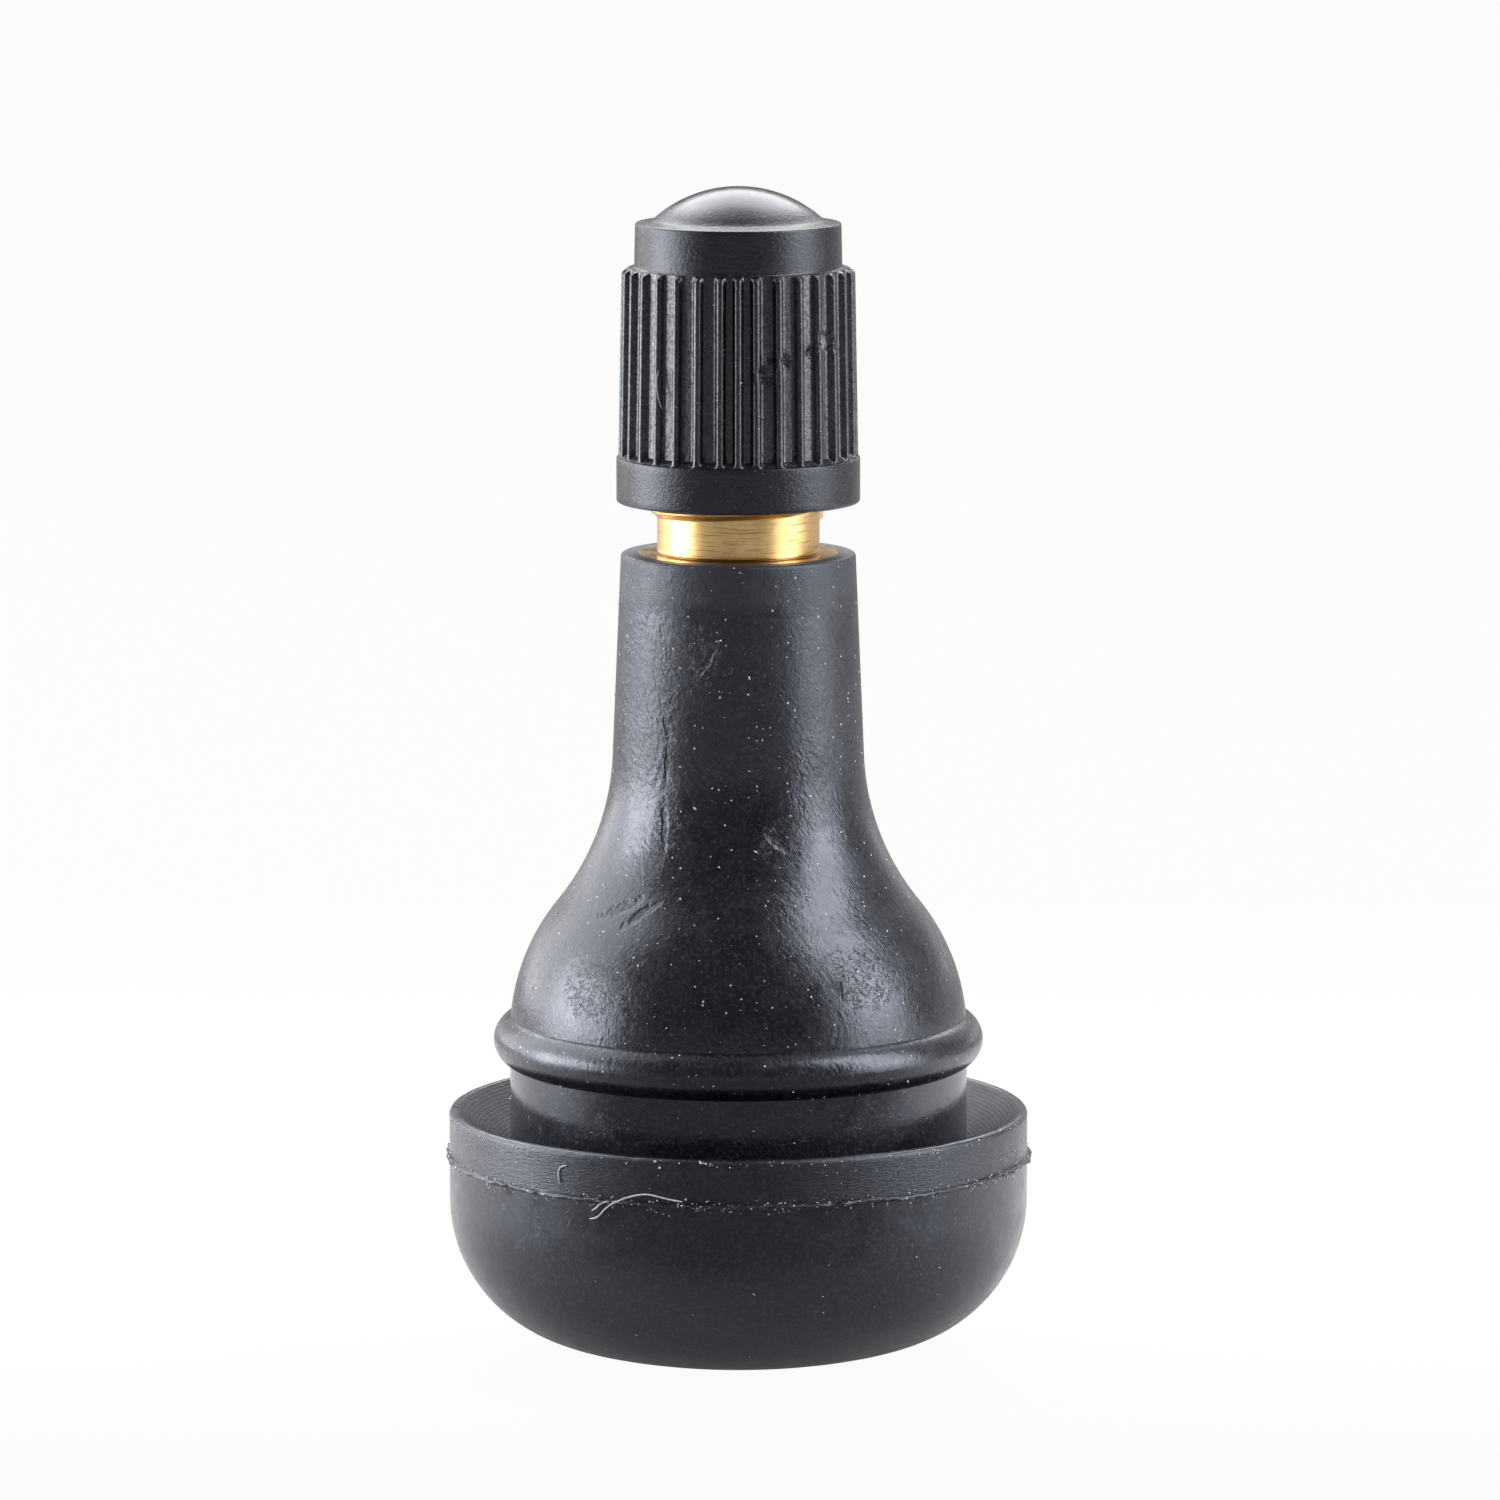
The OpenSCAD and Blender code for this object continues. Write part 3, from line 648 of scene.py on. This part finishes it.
def stem_shape(turn, radius, height):
    """Winds the thread's rows up the stem, turns the relief down to the thread's spiral run-out, cuts
    the cap thread and its chamfer, and raises the core thread inside above the plug."""
    share = turn / (2 * math.pi)
    height[wound] = np.clip(height[wound] + THREAD_PITCH * share, thread_low, TIP_Z)
    outside = (radius > RELIEF_R + 0.11) & (height > RELIEF_Z + 0.01)
    left_off = np.clip(1 - share / BURR_SHARE, 0, 1)
    runout = RUNOUT_Z + THREAD_PITCH * (share + left_off * left_off * (3 - 2 * left_off))
    ramp = np.clip((height - runout) * RUNOUT_SLOPE, 0, THREAD_R - RELIEF_R)
    lines = TOOL_LINE * np.sin(height * 61) * np.sin(height * 23 + 1) * (height < runout)
    blank = np.where(outside, np.minimum(radius, RELIEF_R + ramp - np.abs(lines)), radius)
    depth = np.minimum(THREAD_DEPTH, np.clip(blank - RELIEF_R - 0.2, 0, None)) * outside
    cut = groove_wave(turn, height, THREAD_PITCH) * depth
    inside = (np.abs(radius - CORE_R) < SLACK) * between(height, PLUG_TOP_Z + 0.3, MOUTH_Z - 0.3, 0.3)
    ridge = (1 - groove_wave(turn, height, CORE_PITCH)) * CORE_DEPTH * inside
    chamfer = np.where(outside, THREAD_R - np.clip(height - TIP_Z + TIP_CHAMFER, 0, None), radius)
    return np.minimum(blank - cut, chamfer) - ridge, height


stem_rows = stem_foot + stem_thread_rows + stem_bores
stem = turned("brass_stem_turning", stem_rows, around(STEM_SEGMENTS), stem_shape, stem_climb)

brass, wire = finish("turned_brass")
place = millimetres(wire)
lines = noise(wire, millimetres(wire, (30.0, 30.0, 1.0)), 0.045, 3.0, 0.6)
tarnish = noise(wire, place, 0.5, 5.0, 0.65, 0.6)
height = wire.node("SeparateXYZ", {}, {0: place}, 2)
collar = height < NECK_Z + 0.01
# Painted shade: a thin dark band in the colour at the relief's foot, in the undercut above the collar,
# stands in for the shade there.
corner = (height < RELIEF_Z) * (height > NECK_Z + 0.01)
cut = rise(wire, height, RUNOUT_Z + 0.5, RUNOUT_Z + 1.0)
across = wire.node("VectorMath", {"operation": "MULTIPLY"}, {0: place, 1: (1, 1, 0)})
out = wire.node("VectorMath", {"operation": "LENGTH"}, {0: across}, "Value")
# Darker in the thread's roots: partly grime and partly painted shade in the recesses.
root = 1 - rise(wire, out, THREAD_R - THREAD_DEPTH, THREAD_R - THREAD_DEPTH * 0.3)
root = root * (out > RELIEF_R) * cut
colour = blend(wire, rise(wire, tarnish, 0.38, 0.68), (0.91, 0.63, 0.29, 1), (0.80, 0.52, 0.21, 1))
colour = blend(wire, (1 - rise(wire, lines, 0.32, 0.46)) * (1 - cut * 0.7), colour, (0.42, 0.22, 0.08, 1))
# Painted shade: the undercut at the relief's foot is painted dark, and the thread's roots are painted
# darker, the roots partly for grime.
colour = blend(wire, corner * 0.8 + root * (0.3 + tarnish * 0.6), colour, (0.10, 0.05, 0.015, 1))
rough = 0.22 + lines * 0.12 + tarnish * 0.08 - collar * 0.08
surface(wire, colour, rough, bump(wire, lines * (1 - cut * 0.6), 0.005), Metallic=1.0)
stem.data.materials.append(brass)
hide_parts("brass_stem")
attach(stem, "valve")


# Valve core
# A bought-in insert: a brass plug and barrel screwed into the stem on a tapered gasket, and a spring
# that pulls the pin's cup against the barrel's lower edge. All of it is inside the stem.


def dress(node, material):
    """Gives a node of the frame a better material."""
    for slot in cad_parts[node].material_slots:
        slot.material = material


for name in ("core_plug", "core_barrel", "core_cup"):
    dress(name, brass)

material, wire = finish("gasket_plastic")
wear = noise(wire, millimetres(wire), 0.3, 3.0)
colour = blend(wire, wear, (0.42, 0.030, 0.022, 1), (0.62, 0.055, 0.040, 1))
surface(wire, colour, 0.35 + wear * 0.15, bump(wire, wear, 0.004))
dress("core_gasket", material)

steel, wire = finish("drawn_steel")
drawn = noise(wire, millimetres(wire, (1.0, 1.0, 12.0)), 0.04, 3.0)
colour = blend(wire, drawn, (0.42, 0.43, 0.45, 1), (0.66, 0.67, 0.68, 1))
surface(wire, colour, 0.2 + drawn * 0.2, bump(wire, drawn, 0.004), Metallic=1.0)
dress("core_pin", steel)

SPRING_TURNS = 10
SPRING_R = 1.0
SPRING_STEPS = 28
WIRE_R = 0.16
WIRE_SIDES = 12
SPRING_LOW, SPRING_HIGH = (corner.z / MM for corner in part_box("core_spring"))


def spring_coil(name):
    """A coil of round wire with closed end turns."""
    rows = SPRING_TURNS * SPRING_STEPS
    turns = np.linspace(0, SPRING_TURNS, rows + 1)
    closed = 2.1 * WIRE_R
    climb = SPRING_HIGH - SPRING_LOW - 2 * WIRE_R
    lift = np.interp(turns, (0, 1, SPRING_TURNS - 1, SPRING_TURNS), (0, closed, climb - closed, climb))
    side = around(WIRE_SIDES)
    radius = SPRING_R + WIRE_R * np.cos(side)[None, :]
    winding = (2 * math.pi * turns)[:, None]
    height = SPRING_LOW + WIRE_R + lift[:, None] + WIRE_R * np.sin(side)[None, :]
    points = np.stack([radius * np.cos(winding), radius * np.sin(winding), height], axis=-1)
    last = rows * WIRE_SIDES
    faces = [tuple(range(WIRE_SIDES)), tuple(reversed(range(last, last + WIRE_SIDES)))]
    for start in range(0, last, WIRE_SIDES):
        end = start + WIRE_SIDES
        for corner in range(WIRE_SIDES):
            following = (corner + 1) % WIRE_SIDES
            faces.append((start + corner, end + corner, end + following, start + following))
    return solid(name, points, faces)


spring = spring_coil("core_spring_coil")
spring.data.materials.append(steel)
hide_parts("core_spring")
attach(spring, "valve")
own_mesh(spring)


# Dust cap
# A cap of black plastic from a two-part mould, with narrow grip ribs, a plain band at its rim and a
# low dome. It screws on the stem's thread. Its ribs are dented, with a torn burr and chips beside.

RIM_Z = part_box("dust_cap")[0].z / MM
DOME_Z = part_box("dust_cap")[1].z / MM
BAND_R = 4.795
BAND_Z = RIM_Z + 1.79
BAND_ROUND = 0.06
RIM_ROUND = 0.12
RIB_R = 4.715
RIB_HEIGHT = 0.28
RIB_W = 0.30
RIB_FLANK = 0.18
RIB_FOOT = 0.22
RIB_TIP = 0.19
RIBS_A_HALF = 15
PARTING_ANGLE = 9.0
DOME_R = 3.38
DOME_H = 1.32
SHOULDER_Z = DOME_Z - DOME_H
RIB_TOP_Z = SHOULDER_Z - 1.86
DRAFT = math.tan(math.radians(1.0))
CROWN_R = 4.08
CROWN_ROUND = 0.09
CROWN_FOOT = 0.08
CROWN_SLOPE = 8.0
CAP_BORE_R = 3.955
CAP_LEAD = 0.25
POCKET_R = 3.34
CEILING_Z = SHOULDER_Z - 1.2
HOLLOW_R = 2.0
HOLLOW_H = 1.0
CAP_THREAD_DEPTH = 0.36
GOUGE_LOW_Z = 37.4
GOUGE_HIGH_Z = 41.0
GOUGES = (
    (47, 40.6, 0.45, 0.26), (56, 40.3, 0.42, 0.22), (40, 40.1, 0.30, 0.18), (13, 39.3, 0.42, 0.26),
    (24, 39.8, 0.32, 0.20), (16, 40.0, 0.28, 0.18),
)

rib_pitch = (180 - 2 * PARTING_ANGLE) / (RIBS_A_HALF - 1)
rib_angles = []
for half in (-90, 90):
    rib_angles.append(half)
    rib_angles += [half + PARTING_ANGLE + i * rib_pitch for i in range(RIBS_A_HALF)]


def cap_turns():
    """Angles round the cap, close together at the flanks of the ribs."""
    foot = math.degrees((RIB_W + RIB_FLANK) / 2 / RIB_R)
    turns = []
    for here, there in zip(rib_angles, rib_angles[1:] + [rib_angles[0] + 360]):
        turns += [here + foot * s for s in (-1, -0.85, -0.7, -0.55, -0.4, 0, 0.4, 0.55, 0.7, 0.85, 1)]
        turns += [here + (there - here) * s for s in (0.37, 0.5, 0.63)]
    return np.radians(turns)


def cap_outline():
    """The cap's section between its ribs, from the rim up to the dome and down the inside."""
    sleeve_r = RIB_R - RIB_HEIGHT
    top_in = (RIB_TOP_Z - BAND_Z) * DRAFT
    crown_top = CROWN_R - (SHOULDER_Z - RIB_TOP_Z) * DRAFT
    dome_curve = (DOME_R ** 2 + DOME_H ** 2) / (2 * DOME_H)
    dome_turn = math.degrees(math.acos(DOME_R / dome_curve))
    points = run((CAP_BORE_R + CAP_LEAD, RIM_Z), (BAND_R - RIM_ROUND, RIM_Z), 0.2)
    points += arc((BAND_R - RIM_ROUND, RIM_Z + RIM_ROUND), RIM_ROUND, -90, 0, 5)
    points += run((BAND_R, RIM_Z + 0.3), (BAND_R, BAND_Z - 0.08), 0.25)
    points += arc((BAND_R - BAND_ROUND, BAND_Z - BAND_ROUND), BAND_ROUND, 0, 90, 4)
    points += run((BAND_R - 0.1, BAND_Z), (sleeve_r, BAND_Z + RIB_FOOT), 0.05)
    for low, high, step in ((BAND_Z + RIB_FOOT, GOUGE_LOW_Z, 0.3), (GOUGE_LOW_Z, GOUGE_HIGH_Z, 0.1),
                            (GOUGE_HIGH_Z, RIB_TOP_Z - 0.3, 0.3), (RIB_TOP_Z - 0.3, RIB_TOP_Z, 0.06)):
        low_r = sleeve_r - (low - BAND_Z) * DRAFT
        high_r = sleeve_r - (high - BAND_Z) * DRAFT
        points += run((low_r, low), (high_r, high), step)
    points += run((sleeve_r - top_in, RIB_TOP_Z), (CROWN_R + CROWN_FOOT, RIB_TOP_Z), 0.1)
    points += arc((CROWN_R + CROWN_FOOT, RIB_TOP_Z + CROWN_FOOT), CROWN_FOOT, 270, 180, 4)
    edge_z = SHOULDER_Z - (crown_top - DOME_R) * math.tan(math.radians(CROWN_SLOPE)) - CROWN_ROUND
    points += run((CROWN_R, RIB_TOP_Z + 0.2), (crown_top, edge_z), 0.3)
    points += arc((crown_top - CROWN_ROUND, edge_z), CROWN_ROUND, 0, 90 - CROWN_SLOPE, 6)
    points += run(points[-1], (DOME_R + 0.04, SHOULDER_Z), 0.15)[1:] + [(DOME_R + 0.04, SHOULDER_Z)]
    points += arc((0, DOME_Z - dome_curve), dome_curve, dome_turn + 1, 90, 18)[:-1] + [(0, DOME_Z)]
    hollow_z = CEILING_Z + HOLLOW_H
    points += [(0, hollow_z), (HOLLOW_R - HOLLOW_H, hollow_z), (HOLLOW_R, CEILING_Z)]
    points += [(POCKET_R, CEILING_Z), (POCKET_R, TIP_Z), (CAP_BORE_R, TIP_Z)]
    return points + run((CAP_BORE_R, TIP_Z - 0.1), (CAP_BORE_R, RIM_Z + CAP_LEAD), 0.11)


def rib_mask(turn, radius):
    """1 on a rib's crest and 0 between the ribs, with rounded flanks."""
    nearest = np.full(turn.shape, 360.0)
    for angle in rib_angles:
        off = np.abs(np.mod(np.degrees(turn) - angle + 180, 360) - 180)
        nearest = np.minimum(nearest, off)
    away = np.radians(nearest) * radius
    share = np.clip((RIB_W / 2 + RIB_FLANK / 2 - away) / RIB_FLANK, 0, 1)
    return share * share * (3 - 2 * share)


def cap_shape(turn, radius, height):
    """Raises the ribs, cuts the gouges and raises the thread inside."""
    outer = radius > CAP_BORE_R + 0.2
    crest = RIB_R - (height - BAND_Z) * DRAFT
    crest = crest - np.clip(RIB_TIP - (RIB_TOP_Z - height), 0, None)
    on_sleeve = outer & (height > BAND_Z + SLACK) & (height < RIB_TOP_Z - SLACK)
    radius = radius + np.clip(crest - radius, 0, None) * rib_mask(turn, radius) * on_sleeve
    for angle, z, size, depth in GOUGES:
        along = np.radians(np.mod(np.degrees(turn - FRONT) - angle + 180, 360) - 180) * RIB_R
        away = np.sqrt(along ** 2 + (height - z) ** 2)
        ragged = 0.5 + 0.5 * np.sin(along * 19 + z) * np.sin(height * 23 + angle)
        radius = radius - np.clip(1 - away / size, 0, 1) * depth * ragged * on_sleeve
    bore = np.abs(radius - CAP_BORE_R) < SLACK
    held = between(height, RIM_Z + 1.0, TIP_Z - 0.6, 0.5) * bore
    ridge = groove_wave(turn, height, THREAD_PITCH) * CAP_THREAD_DEPTH * held
    return radius - ridge, height


cap = turned("dust_cap_moulding", cap_outline(), cap_turns(), cap_shape)

CHIPS_A_GOUGE = 5
BURR_R = 0.032
BURR = (
    (-41.6, 39.45, 0.00), (-42.2, 39.10, 0.04), (-41.8, 38.75, 0.07),
    (-40.9, 38.42, 0.09), (-39.8, 38.15, 0.07), (-38.7, 37.90, 0.02),
)


def on_rib(angle, z, off):
    """A point above the ribs' crests, by its angle in degrees to the right of the front."""
    turn = FRONT + math.radians(angle)
    out = RIB_R - (z - BAND_Z) * DRAFT + off
    return np.array([out * math.cos(turn), out * math.sin(turn), z])


draw = np.random.default_rng(22)
torn_bits = [strand([on_rib(*point) for point in BURR], BURR_R)]
for angle, z, size, depth in GOUGES:
    for i in range(CHIPS_A_GOUGE):
        round_it = draw.uniform(0, 2 * math.pi)
        reach = size * draw.uniform(0.6, 1.1)
        beside = angle + math.degrees(reach * math.cos(round_it) / RIB_R)
        sunk = RIB_HEIGHT * (1 - rib_mask(np.array([FRONT + math.radians(beside)]), RIB_R)[0])
        centre = on_rib(beside, z + reach * math.sin(round_it), -sunk)
        lengths = draw.uniform(0.05, 0.12) * np.array([1.0, 0.5, 0.4])
        torn_bits.append(crumb(draw, centre, lengths, draw.uniform(0, math.pi)))
burr = gathered("dust_cap_burr", torn_bits)

material, wire = finish("moulded_plastic")
place = millimetres(wire)
height = wire.node("SeparateXYZ", {}, {0: place}, 2)
dome = rise(wire, height, SHOULDER_Z + 0.35, SHOULDER_Z + 0.75)
ribbed = rise(wire, height, BAND_Z, BAND_Z + 0.1) * (height < RIB_TOP_Z + 0.05)
pebble = noise(wire, place, 0.13, 4.0, 0.64, 0.3)
patches = rise(wire, noise(wire, place, 1.0, 5.0, 0.65, 0.8), 0.36, 0.64)
dust = specks(wire, place, 0.045, 0.42, 0.35)
# Painted glints: pale specks in the colour of the ribs and band stand in for sparkle off the grain.
glints = specks(wire, place, 0.030, 0.15, 0.40) * (height < RIB_TOP_Z + 0.05) * (0.5 + ribbed * 0.5)
colour = blend(wire, patches, (0.0042, 0.0046, 0.0060, 1), (0.012, 0.013, 0.0165, 1))
colour = blend(wire, glints, colour, (0.28, 0.29, 0.31, 1))
colour = blend(wire, dust, colour, (0.6, 0.6, 0.6, 1))
rough = 0.22 + patches * 0.08 + dust * 0.2 + glints * 0.1 - dome * 0.09 - ribbed * 0.03
relief = bump(wire, pebble * (0.8 + ribbed * 0.2 - dome * 0.5), 0.028)
handled = ribbed * (0.5 + patches * 0.5) * rise(wire, pebble, 0.38, 0.54)
surface(wire, colour, rough, relief, Specular_IOR_Level=0.69, Specular_Tint=(0.82, 0.87, 1.0, 1),
        Coat_Weight=handled, Coat_Roughness=0.12)
cap.data.materials.append(material)
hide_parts("dust_cap")

material, wire = finish("torn_plastic")
strain = noise(wire, millimetres(wire), 0.06, 3.0, 0.6)
colour = blend(wire, rise(wire, strain, 0.38, 0.62), (0.02, 0.021, 0.025, 1), (0.34, 0.35, 0.37, 1))
surface(wire, colour, 0.25 + strain * 0.2, bump(wire, strain, 0.006), Specular_IOR_Level=0.65)
burr.data.materials.append(material)
for piece in (cap, burr):
    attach(piece, "cap")


# Cap and cup seals
# A punched rubber washer in the cap's roof and a small rubber ring in the core's cup. They close
# the stem's tip and the barrel's lower edge.

SEAL_LOW, SEAL_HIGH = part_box("cap_seal")
SEAL_R = SEAL_HIGH.x / MM
SEAL_HOLE_R = 1.5
SEAL_EDGE = 0.12
SEAL_SEGMENTS = 96


def washer_outline():
    """A washer's section with rounded edges, from its lower face up the outside and down the hole."""
    low = SEAL_LOW.z / MM + SEAL_EDGE
    high = SEAL_HIGH.z / MM - SEAL_EDGE
    inner = SEAL_HOLE_R + SEAL_EDGE
    outer = SEAL_R - SEAL_EDGE
    points = arc((outer, low), SEAL_EDGE, -90, 0, 4)
    points += arc((outer, high), SEAL_EDGE, 0, 90, 4)
    points += arc((inner, high), SEAL_EDGE, 90, 180, 4)
    return points + arc((inner, low), SEAL_EDGE, 180, 270, 4)


washer = turned("cap_seal_washer", washer_outline(), around(SEAL_SEGMENTS))
material, wire = finish("seal_rubber")
place = millimetres(wire)
bloom = noise(wire, place, 0.6, 4.0, 0.6)
colour = blend(wire, bloom, (0.012, 0.012, 0.013, 1), (0.030, 0.030, 0.032, 1))
surface(wire, colour, 0.5 + bloom * 0.2, bump(wire, noise(wire, place, 0.05), 0.006))
washer.data.materials.append(material)
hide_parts("cap_seal")
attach(washer, "washer")
dress("core_cup_seal", material)


# Studio
# A white sweep under the standing valve, soft boxes at its left, its right and its back, a band of the
# floor in front that glows in reflections only, and a dark side behind the camera, as the highlights on
# the rubber show.

FLOOR_HALF = 6.0
floor_mesh = bpy.data.meshes.new("floor")
floor_corners = [(x * FLOOR_HALF, y * FLOOR_HALF, 0) for x, y in ((-1, -1), (1, -1), (1, 1), (-1, 1))]
floor_mesh.from_pydata(floor_corners, [], [(0, 1, 2, 3)])
floor = bpy.data.objects.new("floor", floor_mesh)
bpy.context.scene.collection.objects.link(floor)
material, wire = finish("white_sweep")
seen = wire.node("LightPath", out="Is Camera Ray")
mirrored = wire.node("LightPath", out="Is Glossy Ray")
through = wire.node("LightPath", out="Is Transmission Ray")
along = wire.node("SeparateXYZ", {}, {0: millimetres(wire)}, 1)
far = rise(wire, along, 40, 110)
# A band of the floor in front glows for glossy rays only, though it is no lamp, to light the reflections in
# the brass and the cap; a little of the floor far behind glows for them too.
glowing_card = rise(wire, along, -430, -350) - rise(wire, along, -180, -110)
shade = 0.07 + rise(wire, along, -24, 8) * 0.78 - far * 0.6
plain = wire.node("BsdfPrincipled", {}, {"Base Color": shade, "Roughness": 0.9, "Specular IOR Level": 0.0})
glow = wire.node("Emission", {}, {"Color": (1, 1, 1, 1), "Strength": 1.0})
share = seen * 0.96 + (mirrored + through) * (0.18 + glowing_card * 0.72 + far * 0.10)
wire.node("OutputMaterial", {}, {"Surface": wire.node("MixShader", {}, {0: share, 1: plain, 2: glow})})
floor.data.materials.append(material)

world = bpy.data.worlds.new("studio")
world.use_nodes = True
world.node_tree.nodes.clear()
wire = Wire(world.node_tree)
direction = wire.node("TexCoord", out="Generated")
depth = wire.node("SeparateXYZ", {}, {0: direction}, 1)
across = wire.node("SeparateXYZ", {}, {0: direction}, 0)
side = wire.math("ABSOLUTE", across)
dim = 1 - rise(wire, across, 0.25, 0.75) * 0.65
low = 1 - rise(wire, wire.node("SeparateXYZ", {}, {0: direction}, 2), 0.02, 0.15)
rim = rise(wire, depth, 0.3, 0.6) * rise(wire, side, 0.15, 0.5) * low
walls = 0.14 + rise(wire, depth, -0.28, 0.20) * (0.10 + rise(wire, side, 0.10, 0.45) * 0.8) + rim * 1.3
walls = walls * dim
seen = wire.node("LightPath", out="Is Camera Ray")
backdrop = wire.node("Background", {}, {"Color": wire.math("MAXIMUM", walls, seen), "Strength": 1.0})
wire.node("OutputWorld", {}, {"Surface": backdrop})
bpy.context.scene.world = world
VALVE_TOP = 0.05


def soft_box(name, bearing, distance, low, high, width, radiance):
    """An area lamp at a bearing from the front, in degrees to the right, between two heights, that
    faces the valve. Its strength is given as radiance, so that its size doesn't change its glare."""
    lamp = bpy.data.lights.new(name, "AREA")
    lamp.shape = "RECTANGLE"
    holder = bpy.data.objects.new(name, lamp)
    side = math.radians(bearing)
    middle = (low + high) / 2
    holder.location = (distance * math.sin(side), -distance * math.cos(side), middle)
    aim = Vector((0, 0, min(middle, VALVE_TOP))) - holder.location
    holder.rotation_euler = aim.to_track_quat("-Z", "Y").to_euler()
    tall = (high - low) / max(math.cos(math.atan2(abs(aim.z), math.hypot(aim.x, aim.y))), 0.3)
    lamp.size = width
    lamp.size_y = tall
    lamp.energy = radiance * math.pi * width * tall
    holder.visible_camera = False
    bpy.context.scene.collection.objects.link(holder)


soft_box("left_box", -88, 0.17, 0.001, 0.085, 0.125, 5.8)
soft_box("left_wide", -114, 0.24, 0.002, 0.30, 0.32, 1.9)
soft_box("right_low", 75, 0.20, 0.001, 0.085, 0.13, 3.7)
soft_box("right_high", 76, 0.20, 0.085, 0.27, 0.14, 5.6)
soft_box("back_box", 180, 0.40, 0.28, 0.58, 0.48, 4.4)

CAMERA_DISTANCE = 0.3625
CAMERA_RISE = math.radians(8.305)
CAMERA_AIM = Vector((0.00046, 0, 0.024))
CAMERA_LENS = 220.25
CAMERA_SENSOR = 36.0
camera = bpy.data.objects.new("camera", bpy.data.cameras.new("camera"))
camera.data.lens = CAMERA_LENS
camera.data.sensor_width = CAMERA_SENSOR
back = Vector((0, -math.cos(CAMERA_RISE), math.sin(CAMERA_RISE)))
camera.location = CAMERA_AIM + back * CAMERA_DISTANCE
camera.rotation_euler = (-back).to_track_quat("-Z", "Y").to_euler()
camera.data.clip_start = 0.01
camera.data.clip_end = 20.0
bpy.context.scene.collection.objects.link(camera)
bpy.context.scene.camera = camera
bpy.context.scene.view_settings.view_transform = "Standard"
